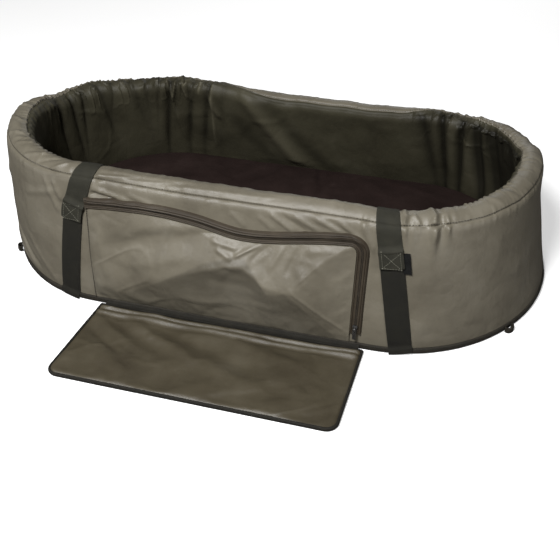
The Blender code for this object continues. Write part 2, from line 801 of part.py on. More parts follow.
def build_handle(parent):
    """The carry handle: one loop of webbing that hangs inside the wall from the two straps."""
    centre_y, centre_z = rim_centre()
    offset = WALL_THICKNESS / 2 + STRAP_GAP + WEBBING_CLOTH + HANDLE_GAP
    near = centre_y + offset + bend_shift(RIGHT_STRAP_TOP_X + STRAP_WIDTH / 2)
    left = -LEFT_STRAP_TOP_X
    right = RIGHT_STRAP_TOP_X
    half = (right - left) / 2
    middle_x = (left + right) / 2
    top = centre_z
    depth = HANDLE_DROP
    centreline = []
    leg_shares = (0.0, HANDLE_LEG_SHARE)
    for down in leg_shares:
        centreline.append(Vector((middle_x - half, top - depth * down)))
    steps = 12
    for step in range(1, steps):
        angle = math.pi * step / steps
        across = -math.copysign(abs(math.cos(angle)) ** 0.8, math.cos(angle))
        sag = mix(HANDLE_LEG_SHARE, 1.0, math.sin(angle) ** 0.7)
        centreline.append(Vector((middle_x + half * across, top - depth * sag)))
    for down in reversed(leg_shares):
        centreline.append(Vector((middle_x + half, top - depth * down)))
    far = near + WEBBING_CLOTH
    upper_edge = beside(centreline, -STRAP_WIDTH / 2)
    lower_edge = beside(centreline, STRAP_WIDTH / 2)
    sections = []
    for a, b in zip(upper_edge, lower_edge):
        sections.append([(a.x, near, a.y), (b.x, near, b.y), (b.x, far, b.y), (a.x, far, a.y)])
    pivot = (0.0, centre_y, centre_z)
    place("carry_handle", swept(sections), "webbing", pivot, parent)


def build_peg_loops():
    """A webbing loop at each corner of the base, for a peg."""
    angle = math.acos(LOOP_X_SHARE)
    steps = 8
    path_shares = [(-1.0, 0.0), (-1.0, LOOP_LEG_SHARE)]
    for step in range(1, steps):
        turn = math.pi * step / steps
        path_shares.append((-math.cos(turn), mix(LOOP_LEG_SHARE, 1.0, math.sin(turn))))
    path_shares += [(1.0, LOOP_LEG_SHARE), (1.0, 0.0)]
    inner_half = LOOP_HALF_WIDTH - LOOP_CLOTH
    inner_reach = LOOP_REACH - LOOP_CLOTH
    for end, side in (("left", -1), ("right", 1)):
        for face, turned in (("front", -angle), ("back", angle)):
            foot, outward = end_point(turned, side, BINDING_WIDTH + CLEARANCE)
            along = Vector((-outward.y, outward.x))
            sections = []
            for across, out in path_shares:
                outer = foot + along * LOOP_HALF_WIDTH * across + outward * LOOP_REACH * out
                inner = foot + along * inner_half * across + outward * inner_reach * out
                sections.append(box_section(inner, outer, BINDING_LOW, BINDING_LOW + LOOP_HEIGHT))
            place(f"peg_loop_{face}_{end}", swept(sections), "webbing")


def kneel_outline(inset):
    """The kneeling mat's outline, square at the hinge and rounded at the front corners."""
    left = KNEEL_CENTRE_X - KNEEL_HALF_WIDTH + inset
    right = KNEEL_CENTRE_X + KNEEL_HALF_WIDTH - inset
    back = KNEEL_HINGE_Y - CLEARANCE - inset
    front = KNEEL_HINGE_Y - KNEEL_DEPTH + inset
    turn = KNEEL_CORNER - inset
    points = [(right, back), (left, back)]
    steps = 5
    for step in range(steps + 1):
        angle = math.pi / 2 * step / steps
        points.append((left + turn - turn * math.cos(angle), front + turn - turn * math.sin(angle)))
    for step in range(steps + 1):
        angle = math.pi / 2 * (1 - step / steps)
        points.append((right - turn + turn * math.cos(angle), front + turn - turn * math.sin(angle)))
    return points


def kneel_crown(x, y):
    across_share = (x - KNEEL_CENTRE_X) / KNEEL_HALF_WIDTH
    middle = KNEEL_HINGE_Y - KNEEL_DEPTH / 2
    along_share = (y - middle) / (KNEEL_DEPTH / 2)
    return KNEEL_CROWN * max(0.0, 1 - across_share**4) * max(0.0, 1 - along_share**4)


def crowned_slab(inset, low, base_top, lower_crown=False):
    """A slab over the kneeling mat's outline whose faces follow the crown, in nested rings."""
    made = bmesh.new()
    centre = Vector((KNEEL_CENTRE_X, KNEEL_HINGE_Y - KNEEL_DEPTH / 2))
    outline = [Vector(p) for p in kneel_outline(inset)]
    dense = []
    for i, point in enumerate(outline):
        after = outline[(i + 1) % len(outline)]
        cuts = max(1, round((after - point).length / (KNEEL_DEPTH / 4)))
        for cut in range(cuts):
            dense.append(point.lerp(after, cut / cuts))

    def layer(height, crowned):
        rings = []
        for share in KNEEL_RING_SHARES:
            ring = []
            for point in dense:
                flat = centre.lerp(point, share)
                z = height + (kneel_crown(flat.x, flat.y) if crowned else 0.0)
                ring.append(made.verts.new((flat.x, flat.y, z)))
            rings.append(ring)
        middle_z = height + (kneel_crown(centre.x, centre.y) if crowned else 0.0)
        middle = made.verts.new((centre.x, centre.y, middle_z))
        count = len(dense)
        for one, two in zip(rings, rings[1:]):
            for i in range(count):
                j = (i + 1) % count
                made.faces.new((one[i], one[j], two[j], two[i]))
        for i in range(count):
            made.faces.new((rings[-1][i], rings[-1][(i + 1) % count], middle))
        return rings[0]

    upper = layer(base_top, True)
    if lower_crown:
        lower = layer(low, True)
    else:
        lower = [made.verts.new((p.x, p.y, low)) for p in dense]
        made.faces.new(lower)
    for i in range(len(dense)):
        j = (i + 1) % len(dense)
        made.faces.new((upper[i], upper[j], lower[j], lower[i]))
    return made


def build_kneeling_mat(parent, pivot):
    inset = KNEEL_BINDING + CLEARANCE
    cover = plate(kneel_outline(inset), 0.0, KNEEL_CLOTH)
    place("kneel_base_cover", cover, "kneel_nylon", pivot, parent, smooth=False)
    foam_low = KNEEL_CLOTH + CLEARANCE
    foam_top = KNEEL_THICKNESS - KNEEL_CROWN - KNEEL_CLOTH - 2 * CLEARANCE
    foam = crowned_slab(inset + KNEEL_CLOTH, foam_low, foam_top)
    place("kneel_foam", foam, "foam", pivot, parent)
    cover_low = foam_top + CLEARANCE
    top = crowned_slab(inset, cover_low, cover_low + KNEEL_CLOTH, lower_crown=True)
    place("kneel_top_cover", top, "kneel_nylon", pivot, parent)
    outer = kneel_outline(0.0)
    inner = kneel_outline(KNEEL_BINDING)
    sections = [box_section(a, b, CLEARANCE, KNEEL_THICKNESS) for a, b in zip(inner, outer)]
    place("kneel_binding", swept(sections, closed=True), "binding", pivot, parent)


def build_kneel_strip():
    """The strip of cloth that hinges the kneeling mat to the foot of the front side."""
    back = -(HALF_WIDTH + BINDING_WIDTH + CLEARANCE)
    front = KNEEL_HINGE_Y + CLEARANCE
    half = KNEEL_HALF_WIDTH - KNEEL_BINDING
    outline = [
        (KNEEL_CENTRE_X - half, front),
        (KNEEL_CENTRE_X + half, front),
        (KNEEL_CENTRE_X + half, back),
        (KNEEL_CENTRE_X - half, back),
    ]
    top = KNEEL_THICKNESS
    place("kneel_hinge_strip", plate(outline, top - STRIP_CLOTH, top), "kneel_nylon", smooth=False)


def build_mat():
    clear_scene()
    build_base()
    build_floor_cover()
    build_wall("left_end", end_wall_stations(-1))
    build_wall("right_end", end_wall_stations(1))
    front_pivot = (0.0, -HINGE_Y, HINGE_Z)
    back_pivot = (0.0, HINGE_Y, HINGE_Z)
    front = joint_empty("front_wall_hinge", front_pivot)
    back = joint_empty("back_wall_hinge", back_pivot)
    build_wall("front", long_wall_stations(-1), front_pivot, front)
    build_wall("back", long_wall_stations(1), back_pivot, back)
    build_pocket(front, front_pivot)
    build_front_strap("front_strap_left", -1, LEFT_STRAP_TOP_X, front, front_pivot)
    build_front_strap("front_strap_right", 1, RIGHT_STRAP_TOP_X, front, front_pivot)
    build_label_tab(front, front_pivot)
    build_handle(front)
    build_strap_feet()
    build_peg_loops()
    bar, ahead, across, outward = build_slider(front)
    build_puller(front, bar, ahead, across, outward)
    kneel_pivot = (KNEEL_CENTRE_X, KNEEL_HINGE_Y, KNEEL_HINGE_Z)
    kneel = joint_empty("kneeling_mat_hinge", kneel_pivot)
    build_kneeling_mat(kneel, kneel_pivot)
    build_kneel_strip()


build_mat()
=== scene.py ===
"""Looks of the folding unhooking mat: its cloth, pocket, webbing and kneeling mat.

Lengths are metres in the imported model's frame: +X along the mat, -Y the pocket side, +Z up.
Cloth is built as closed sheets over smooth grids of points. What repeats along a path, such as
the stitches and the zip's coil, is laid by Geometry Nodes.
"""

import math
from itertools import product

import bpy
import numpy as np
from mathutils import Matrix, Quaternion, Vector


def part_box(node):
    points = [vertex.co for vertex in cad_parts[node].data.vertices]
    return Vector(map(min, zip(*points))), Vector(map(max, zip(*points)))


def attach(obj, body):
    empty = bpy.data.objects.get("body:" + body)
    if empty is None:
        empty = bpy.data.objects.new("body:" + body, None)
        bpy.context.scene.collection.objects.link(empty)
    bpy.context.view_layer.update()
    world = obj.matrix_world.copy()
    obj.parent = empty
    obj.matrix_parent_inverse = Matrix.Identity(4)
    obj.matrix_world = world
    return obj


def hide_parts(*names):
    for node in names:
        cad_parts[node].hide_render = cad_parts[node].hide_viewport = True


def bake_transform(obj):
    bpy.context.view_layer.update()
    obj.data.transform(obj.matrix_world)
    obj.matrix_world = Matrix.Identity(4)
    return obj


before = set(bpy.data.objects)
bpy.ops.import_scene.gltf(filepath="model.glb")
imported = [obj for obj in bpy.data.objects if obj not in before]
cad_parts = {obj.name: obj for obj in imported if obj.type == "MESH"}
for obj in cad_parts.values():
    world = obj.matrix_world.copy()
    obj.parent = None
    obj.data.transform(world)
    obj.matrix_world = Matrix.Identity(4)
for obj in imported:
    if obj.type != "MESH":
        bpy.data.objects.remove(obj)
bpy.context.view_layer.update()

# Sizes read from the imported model
base_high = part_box("groundsheet")[1]
HALF_LENGTH = base_high.x
HALF_WIDTH = base_high.y
FOOT_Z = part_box("front_outer_cover")[0].z
WALL_HALF_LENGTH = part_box("front_foam")[1].x
FRONT_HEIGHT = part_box("front_rim_band")[1].z
BACK_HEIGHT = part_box("back_rim_band")[1].z
END_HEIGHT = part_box("right_end_rim_band")[1].z
BINDING_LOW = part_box("base_binding")[0].z
BINDING_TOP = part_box("base_binding")[1].z
FLOOR_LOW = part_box("floor_cover")[0].z
FLOOR_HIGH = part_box("floor_cover")[1].z
KNEEL_LOW, KNEEL_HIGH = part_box("kneel_binding")
HANDLE_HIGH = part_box("carry_handle")[1]
TAB_LOW, TAB_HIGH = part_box("label_tab")

# Shape of the tub, as in the CAD
STRAIGHT_HALF = 0.265
END_REACH = HALF_LENGTH - STRAIGHT_HALF
WALL_THICKNESS = 0.050
RIM_RADIUS = WALL_THICKNESS / 2
FRONT_RIM_INSET = 0.014
END_RIM_INSET = 0.005
BACK_RIM_INSET = 0.062
COVER_TURN_Z = 0.044
OUTER_SEAM = math.radians(31)
CLOTH = 0.0012
GRID = 0.0026
END_START = math.acos((WALL_HALF_LENGTH - STRAIGHT_HALF) / END_REACH)

# Straps, as in the CAD
STRAP_WIDTH = 0.040
STRAP_FOOT_X = 0.317
STRAP_BOX_X = 0.2915
STRAP_BOX_Z = 0.192
LEFT_STRAP_TOP_X = -0.262
RIGHT_STRAP_TOP_X = 0.277
BOX_SIDE = 0.030

# The kneeling mat's cloth reaches past the CAD's straight edges at the sides and less in front
KNEEL_WIDER = 0.004
KNEEL_SHORTER = 0.008
KNEEL_SLANT = 0.007
KNEEL_NEARER = 0.004

# Camera fitted to the photograph
CAMERA_TARGET = (0.0142, 0.0, 0.0332)
CAMERA_AZIMUTH = math.radians(16.67)
CAMERA_ELEVATION = math.radians(31.54)
CAMERA_ROLL = math.radians(-0.45)
CAMERA_DISTANCE = 1.8735
CAMERA_LENS = 57.45
CAMERA_SENSOR = 36.0
CAMERA_SHIFT = (-0.0054, -0.0989)


def make_camera():
    data = bpy.data.cameras.new("photo_camera")
    data.lens = CAMERA_LENS
    data.sensor_width = CAMERA_SENSOR
    data.shift_x, data.shift_y = CAMERA_SHIFT
    data.clip_start = CAMERA_DISTANCE / 40
    data.clip_end = CAMERA_DISTANCE * 20
    camera = linked("photo_camera", data)
    flat = math.cos(CAMERA_ELEVATION)
    across = math.sin(CAMERA_AZIMUTH) * flat
    depth = -math.cos(CAMERA_AZIMUTH) * flat
    back = Vector((across, depth, math.sin(CAMERA_ELEVATION)))
    camera.location = Vector(CAMERA_TARGET) + back * CAMERA_DISTANCE
    camera.rotation_mode = "QUATERNION"
    facing = (-back).to_track_quat("-Z", "Y")
    camera.rotation_quaternion = Quaternion(back, CAMERA_ROLL) @ facing
    bpy.context.scene.camera = camera


# Random fields for cloth


def lattice_value(cell, seed):
    mixed = cell[..., 0] * 73856093 ^ cell[..., 1] * 19349663 ^ cell[..., 2] * 83492791
    mixed = mixed ^ (seed * 50331653)
    mixed = (mixed ^ (mixed >> 13)) * 1274126177
    mixed = mixed ^ (mixed >> 16)
    return (mixed & 0xFFFF) / 32767.5 - 1.0


def soft_field(points, size, seed):
    """A smooth random field from -1 to 1, whose cells have this size along each axis."""
    scaled = points / np.asarray(size, float)
    cell = np.floor(scaled).astype(np.int64)
    part = scaled - cell
    ease = part * part * part * (part * (part * 6.0 - 15.0) + 10.0)
    total = np.zeros(points.shape[:-1])
    for corner in product((0, 1), repeat=3):
        weight = np.ones(points.shape[:-1])
        for axis in range(3):
            weight = weight * (ease[..., axis] if corner[axis] else 1.0 - ease[..., axis])
        total += weight * lattice_value(cell + np.array(corner), seed)
    return total


def layered_field(points, size, seed, layers=3):
    total = np.zeros(points.shape[:-1])
    strength = 1.0
    for layer in range(layers):
        total += strength * soft_field(points, np.asarray(size, float) / 2**layer, seed + layer)
        strength *= 0.5
    return total


def crease_field(points, size, seed, sharpness=0.16):
    """Narrow ridges that wander through the field, from 0 to 1."""
    return bell(soft_field(points, size, seed), sharpness)


def bell(value, width, power=2):
    """1 at zero, falling smoothly to 0 beyond this width."""
    return np.exp(-((value / width) ** power))


def smooth_step(t):
    t = np.clip(t, 0.0, 1.0)
    return t * t * (3.0 - 2.0 * t)


def soft_least(values, blend):
    """The least of several heights, rounded where they meet."""
    total = sum(np.exp(-value / blend) for value in values)
    return -blend * np.log(total)


# Meshes


def linked(name, data):
    made = bpy.data.objects.new(name, data)
    bpy.context.scene.collection.objects.link(made)
    return made


def points_of(x, y, z):
    return np.stack(np.broadcast_arrays(x, y, z), axis=-1)


def unit(vectors):
    return vectors / np.linalg.norm(vectors, axis=-1, keepdims=True)


def run_of(points):
    """Distance along a path at each of its points."""
    return np.concatenate([[0.0], np.cumsum(np.linalg.norm(np.diff(points, axis=0), axis=1))])


def placed_along(points, wanted):
    """Points of a path at wanted distances along it."""
    run = run_of(points)
    return np.stack([np.interp(wanted, run, values) for values in points.T], axis=1)


def evenly(points, count):
    return placed_along(points, np.linspace(0.0, run_of(points)[-1], count))


def beside(path, side, offset):
    """Points at offsets to a path's side, the same for each of its points or one row for each."""
    return path[:, None, :] + side[:, None, :] * np.atleast_2d(offset)[..., None]


def level(directions):
    """Directions in plan as rows of directions in space."""
    return np.concatenate([directions, np.zeros((len(directions), 1))], axis=1)[:, None, :]


def link_mesh(name, mesh, finish):
    mesh.materials.append(finish)
    return linked(name, mesh)


def quads_mesh(name, points, quads, corners):
    """A mesh of quads with a UV map in metres, given for each corner."""
    mesh = bpy.data.meshes.new(name)
    mesh.vertices.add(len(points))
    mesh.vertices.foreach_set("co", points.astype(np.float32).ravel())
    mesh.loops.add(quads.size)
    mesh.loops.foreach_set("vertex_index", quads.astype(np.int32).ravel())
    mesh.polygons.add(len(quads))
    mesh.polygons.foreach_set("loop_start", np.arange(0, quads.size, 4, dtype=np.int32))
    mesh.update(calc_edges=True)
    layer = mesh.uv_layers.new(name="cloth")
    layer.data.foreach_set("uv", corners.astype(np.float32).ravel())
    mesh.shade_smooth()
    mesh.set_sharp_from_angle(angle=math.radians(55))
    return mesh


def measured(grid, ring):
    """Distances along the grid's columns and rows, for the UV map."""
    closed = np.concatenate([grid, grid[:1]]) if ring else grid
    steps = np.linalg.norm(np.diff(grid, axis=1), axis=2).mean(axis=0)
    across = np.concatenate([[0.0], np.cumsum(steps)])
    return run_of(closed[:, grid.shape[1] // 2]), across


def grid_normals(grid, ring):
    padded = np.concatenate([grid[-1:], grid, grid[:1]]) if ring else grid
    along = np.gradient(padded, axis=0)
    if ring:
        along = along[1:-1]
    across = np.gradient(grid, axis=1)
    normals = np.cross(along, across)
    length = np.linalg.norm(normals, axis=2, keepdims=True)
    return normals / np.maximum(length, 1e-12)


def paired_piece(name, front, back, finish, outward, ring=False):
    """A closed solid between two grids of points; outward tells roughly where the front faces."""
    columns, rows = front.shape[:2]
    facing = (grid_normals(front, ring) * np.asarray(outward, float)).sum(axis=2).mean()
    along, across = measured(front, ring)
    spans = columns if ring else columns - 1
    i, j = np.meshgrid(np.arange(spans), np.arange(rows - 1), indexing="ij")
    i, j = i.ravel(), j.ravel()
    k = columns * rows

    def at(column, row, layer):
        return (column % columns) * rows + row + layer * k

    def uv(column, row):
        return np.stack([along[column], across[row]], axis=-1)

    quads = [
        np.stack([at(i, j, 0), at(i + 1, j, 0), at(i + 1, j + 1, 0), at(i, j + 1, 0)], axis=1),
        np.stack([at(i, j, 1), at(i, j + 1, 1), at(i + 1, j + 1, 1), at(i + 1, j, 1)], axis=1),
    ]
    corners = [
        np.stack([uv(i, j), uv(i + 1, j), uv(i + 1, j + 1), uv(i, j + 1)], axis=1),
        np.stack([uv(i, j), uv(i, j + 1), uv(i + 1, j + 1), uv(i + 1, j)], axis=1),
    ]
    low = np.arange(spans)
    last = 0 * low + rows - 1
    edges = [(low + 1, low, 0 * low, 0 * low), (low, low + 1, last, last)]
    if not ring:
        side = np.arange(rows - 1)
        edges.append((0 * side, 0 * side, side, side + 1))
        edges.append((0 * side + columns - 1, 0 * side + columns - 1, side + 1, side))
    for c1, c2, r1, r2 in edges:
        quads.append(np.stack([at(c1, r1, 0), at(c2, r2, 0), at(c2, r2, 1), at(c1, r1, 1)], axis=1))
        corners.append(np.stack([uv(c1, r1), uv(c2, r2), uv(c2, r2), uv(c1, r1)], axis=1))
    quads = np.concatenate(quads)
    corners = np.concatenate(corners)
    if facing < 0:
        quads = quads[:, ::-1]
        corners = corners[:, ::-1]
    points = np.concatenate([front.reshape(-1, 3), back.reshape(-1, 3)])
    return link_mesh(name, quads_mesh(name, points, quads, corners), finish)


def sheet_piece(name, grid, thickness, finish, outward, ring=False):
    """A closed cloth sheet whose outer face is the grid."""
    normals = grid_normals(grid, ring)
    facing = (normals * np.asarray(outward, float)).sum(axis=2).mean()
    back = grid - normals * math.copysign(thickness, facing)
    return paired_piece(name, grid, back, finish, outward, ring)


def upright(flat, z):
    """Points in plan with their heights."""
    return np.concatenate([flat, np.broadcast_to(z, flat.shape[:-1])[..., None]], axis=-1)


def right_of(ahead):
    """Directions to the right of these; outward, round a path that runs anticlockwise."""
    ahead = unit(ahead)
    return np.stack([ahead[:, 1], -ahead[:, 0]], axis=1)


def sideways(path):
    return right_of(np.gradient(path, axis=0))


def ring_normals(path):
    return right_of(np.roll(path, -1, axis=0) - np.roll(path, 1, axis=0))


def mark_painted_light(piece, name, amount):
    """Keeps how much painted shade or painted highlight each point of the cloth's face takes in its
    colour, 0 to 1.
    """
    mesh = piece.data
    layer = mesh.attributes.new(name, "FLOAT", "POINT")
    values = np.zeros(len(mesh.vertices), np.float32)
    values[: amount.size] = amount.ravel()
    values[amount.size: 2 * amount.size] = amount.ravel()
    layer.data.foreach_set("value", values)


def settle(piece, body, slot_name, *replaced):
    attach(piece, body)
    if replaced:
        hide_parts(*replaced)
    return piece


# The tub's outline


def base_half_width(x, inset=0.0):
    past = np.maximum(np.abs(x) - STRAIGHT_HALF, 0.0)
    reach = END_REACH - inset
    return (HALF_WIDTH - inset) * np.sqrt(np.maximum(0.0, 1.0 - (past / reach) ** 2))


def end_arc(angle):
    """Distance round an end's foot line from the front wall's end to this angle."""
    steps = np.linspace(-END_START, END_START, 2001)
    outline = np.stack([END_REACH * np.cos(steps), HALF_WIDTH * np.sin(steps)], axis=1)
    return np.interp(angle, steps, run_of(outline))


def outline_normal(x, y):
    """Outward directions of an end's foot line, with x counted from where the end begins."""
    return unit(np.stack([x / END_REACH**2, y / HALF_WIDTH**2], axis=-1))


def long_foot(x, side):
    """(points, outward directions) of a long wall's foot line."""
    past = np.sign(x) * np.maximum(np.abs(x) - STRAIGHT_HALF, 0.0)
    y = base_half_width(x)
    return np.stack([x, side * y], axis=-1), outline_normal(past, y) * (1, side)


END_LENGTH = float(end_arc(END_START))
RING_LENGTH = 4 * WALL_HALF_LENGTH + 2 * END_LENGTH


def front_place(x):
    """Place round the tub, in metres anticlockwise from the middle of the front."""
    return x


def right_end_place(from_front):
    return WALL_HALF_LENGTH + from_front


def back_place(x):
    return 2 * WALL_HALF_LENGTH + END_LENGTH - x


def left_end_place(from_front):
    return -WALL_HALF_LENGTH - from_front


def ring_offset(place, centre):
    return (place - centre + RING_LENGTH / 2) % RING_LENGTH - RING_LENGTH / 2


class WallRun:
    """Columns along a stretch of wall: foot, outward, rim shift, height and ring place."""

    def __init__(self, foot, outward, shift, height, place):
        self.foot = foot
        self.outward = outward
        self.shift = shift
        self.height = height
        self.place = place

    def surface(self, distance):
        rows = (self.foot[:, None], self.outward[:, None], self.shift[:, None])
        return wall_surface(*rows, self.height[:, None], distance)


def wall_surface(foot, outward, shift, height, distance):
    """(points, normals) of the plain padded wall at distances up its face and over its rim."""
    inwards, z, out, up = wall_section(height, distance)
    rise = np.maximum((z - FOOT_Z) / (height - FOOT_Z), 0.0)
    flat = foot - outward * inwards[..., None] + shift * rise[..., None]
    points = np.concatenate([flat, z[..., None]], axis=-1)
    return points, np.concatenate([outward * out[..., None], up[..., None]], axis=-1)


def wall_section(height, distance):
    """(inwards, z, outward share, upward share) at a distance up a wall's face and over its rim.

    Up to the roll of the rim the distance is the height itself.
    """
    turn = height - RIM_RADIUS
    angle = np.clip((distance - turn) / RIM_RADIUS, 0.0, math.pi)
    before = np.minimum(distance - turn, 0.0)
    after = np.maximum(distance - turn - math.pi * RIM_RADIUS, 0.0)
    inwards = RIM_RADIUS - RIM_RADIUS * np.cos(angle)
    z = turn + RIM_RADIUS * np.sin(angle) + before - after
    return inwards, z, np.cos(angle), np.sin(angle)


def outer_seam(height):
    """Distance up the wall to the seam where the rim band starts."""
    return height - RIM_RADIUS + OUTER_SEAM * RIM_RADIUS


# Where the rim band ends, in degrees round the rim's roll, at places round the tub
INNER_SEAM_PLACES = (
    (front_place(0.0), 136), (right_end_place(0.25), 134), (right_end_place(0.60), 126),
    (right_end_place(END_LENGTH - 0.09), 108), (right_end_place(END_LENGTH), 70),
    (back_place(0.30), 62), (back_place(0.26), 82), (back_place(0.22), 124),
    (back_place(-0.08), 126), (back_place(-0.15), 96), (back_place(-0.19), 64),
    (back_place(-0.35), 60), (back_place(-0.35) + 0.15, 62), (back_place(-0.35) + 0.25, 80),
    (back_place(-0.35) + 0.33, 108), (back_place(-0.35) + 0.45, 128),
    (RING_LENGTH - WALL_HALF_LENGTH, 136), (RING_LENGTH, 136),
)


def rim_full(place):
    """Width of the rim band at ring places, measured round its roll."""
    places, degrees = zip(*INNER_SEAM_PLACES)
    total = 0.0
    for step in (-0.012, -0.006, 0.0, 0.006, 0.012):
        total = total + np.interp((place + step) % RING_LENGTH, places, degrees)
    return (np.radians(total / 5) - OUTER_SEAM) * RIM_RADIUS


# Rises and dips of the rim: (ring place, half width, height)
RIM_WAVES = (
    (front_place(-0.27), 0.120, 0.006),
    (front_place(0.30), 0.060, -0.003),
    (left_end_place(0.46), 0.090, -0.026),
    (right_end_place(0.50), 0.090, -0.018),
    (right_end_place(0.36), 0.090, -0.006),
    (back_place(-0.30), 0.110, 0.012),
    (back_place(-0.20), 0.045, 0.003),
    (back_place(0.10), 0.160, -0.0045),
    (right_end_place(END_LENGTH - 0.06), 0.060, 0.003),
)
RIM_RIPPLE = 0.0016
# How far an end's rim is drawn in at its middle, and how much of that a quarter further back adds
END_DRAWN = {1: (0.024, 0.25), -1: (-0.006, -0.9)}


def height_wave(place):
    """How the sewn rim rises and dips round the photographed tub."""
    total = sum(high * bell(ring_offset(place, at), wide) for at, wide, high in RIM_WAVES)
    ripples = RIM_RIPPLE * np.sin(place * 47.0) * np.sin(place * 19.0 + 1.3)
    return total + ripples * smooth_step((np.abs(ring_offset(place, 0.0)) - 0.40) / 0.1)


def long_run(side):
    columns = round(2 * WALL_HALF_LENGTH / GRID) + 1
    x = np.linspace(-WALL_HALF_LENGTH, WALL_HALF_LENGTH, columns)
    foot, outward = long_foot(x, side)
    inset, height = (FRONT_RIM_INSET, FRONT_HEIGHT) if side < 0 else (BACK_RIM_INSET, BACK_HEIGHT)
    shift = np.stack([0 * x, 0 * x - side * inset], axis=1)
    place = front_place(x) if side < 0 else back_place(x)
    return WallRun(foot, outward, shift, height + height_wave(place), place)


def end_run(side, first, last):
    """Half of an end, between two angles counted from straight along the mat."""
    columns = round(abs(float(end_arc(last) - end_arc(first))) / GRID) + 1
    angle = np.linspace(first, last, columns)
    share = (angle + END_START) / (2 * END_START)
    to_end = smooth_step(share * 2)
    to_back = smooth_step(share * 2 - 1)
    x = END_REACH * np.cos(angle)
    y = HALF_WIDTH * np.sin(angle)
    height = FRONT_HEIGHT + (END_HEIGHT - FRONT_HEIGHT) * to_end
    height = height + (BACK_HEIGHT - height) * to_back
    shift_x = -side * END_RIM_INSET * (to_end - to_back)
    shift_y = FRONT_RIM_INSET * (1 - to_end) - BACK_RIM_INSET * to_back
    arc = end_arc(angle)
    place = right_end_place(arc) if side > 0 else left_end_place(arc)
    drawn, further_back = END_DRAWN[side]
    middle = np.sin(math.pi * share) ** 2 + further_back * bell(share - 0.70, 0.16)
    shift = np.stack([shift_x - side * drawn * middle, shift_y], axis=1)
    foot = np.stack([(x + STRAIGHT_HALF) * side, y], axis=1)
    outward = outline_normal(x, y) * (side, 1)
    return WallRun(foot, outward, shift, height + height_wave(place), place)


# Puckers, folds and the padded swell of the walls


def in_metres(*lines):
    """Lines for line_folds, from two ends, half width and height in millimetres."""
    scaled = (tuple(value / 1000 for value in line) for line in lines)
    return [(line[0:2], line[2:4], line[4], line[5]) for line in scaled]


def random_puckers(seed, start, end, spacing, width, height, length):
    """Evenly scattered puckers between two ring places: (place, half width, height, length)."""
    rng = np.random.default_rng(seed)
    found = []
    place = start
    while place < end:
        place += spacing * rng.uniform(0.6, 1.5)
        found.append((
            place,
            width * rng.uniform(0.6, 1.4),
            height * rng.uniform(0.35, 1.2),
            length * rng.uniform(0.5, 1.5),
        ))
    return found


RIGHT_END = (right_end_place(0.0), right_end_place(END_LENGTH))
LEFT_END = (left_end_place(END_LENGTH), left_end_place(0.0))

SEAM_PUCKERS = (
    random_puckers(11, *RIGHT_END, 0.024, 0.0042, 0.0012, 0.012)
    + random_puckers(12, *LEFT_END, 0.030, 0.0050, 0.0010, 0.012)
    + random_puckers(13, front_place(-0.24), front_place(0.24), 0.040, 0.007, 0.0009, 0.015)
    + random_puckers(14, back_place(0.33), back_place(-0.33), 0.036, 0.006, 0.0010, 0.016)
    + [
        (front_place(0.306), 0.0062, 0.0090, 0.034),
        (front_place(0.356), 0.0074, 0.0100, 0.036),
        (front_place(0.332), 0.0070, -0.0036, 0.036),
        (front_place(0.332), 0.0034, 0.0022, 0.016),
        (front_place(0.378), 0.0044, 0.0026, 0.016),
        (right_end_place(0.030), 0.0055, 0.0030, 0.024),
        (front_place(0.243), 0.0060, 0.0024, 0.018),
        (front_place(-0.234), 0.0060, 0.0022, 0.018),
        (front_place(-0.292), 0.0060, 0.0018, 0.020),
    ]
)

RIM_RIBS = (
    random_puckers(21, *RIGHT_END, 0.015, 0.0036, 0.0024, 0.016)
    + random_puckers(22, *LEFT_END, 0.015, 0.0038, 0.0026, 0.016)
    + random_puckers(23, back_place(0.34), back_place(-0.34), 0.030, 0.006, 0.0010, 0.03)
    + random_puckers(24, front_place(-0.34), front_place(0.34), 0.045, 0.008, 0.0007, 0.03)
)

LINING_FOLDS = (
    random_puckers(31, *RIGHT_END, 0.021, 0.0060, 0.0022, 0.024)
    + random_puckers(32, *LEFT_END, 0.022, 0.0065, 0.0024, 0.030)
    + random_puckers(33, back_place(-0.20), back_place(-0.35), 0.013, 0.0048, 0.0014, 0.036)
    + random_puckers(34, back_place(0.36), back_place(0.25), 0.015, 0.0052, 0.0016, 0.030)
    + random_puckers(35, back_place(0.24), back_place(-0.15), 0.050, 0.008, 0.0008, 0.020)
    + random_puckers(36, front_place(-0.33), front_place(0.33), 0.050, 0.010, 0.0016, 0.05)
)

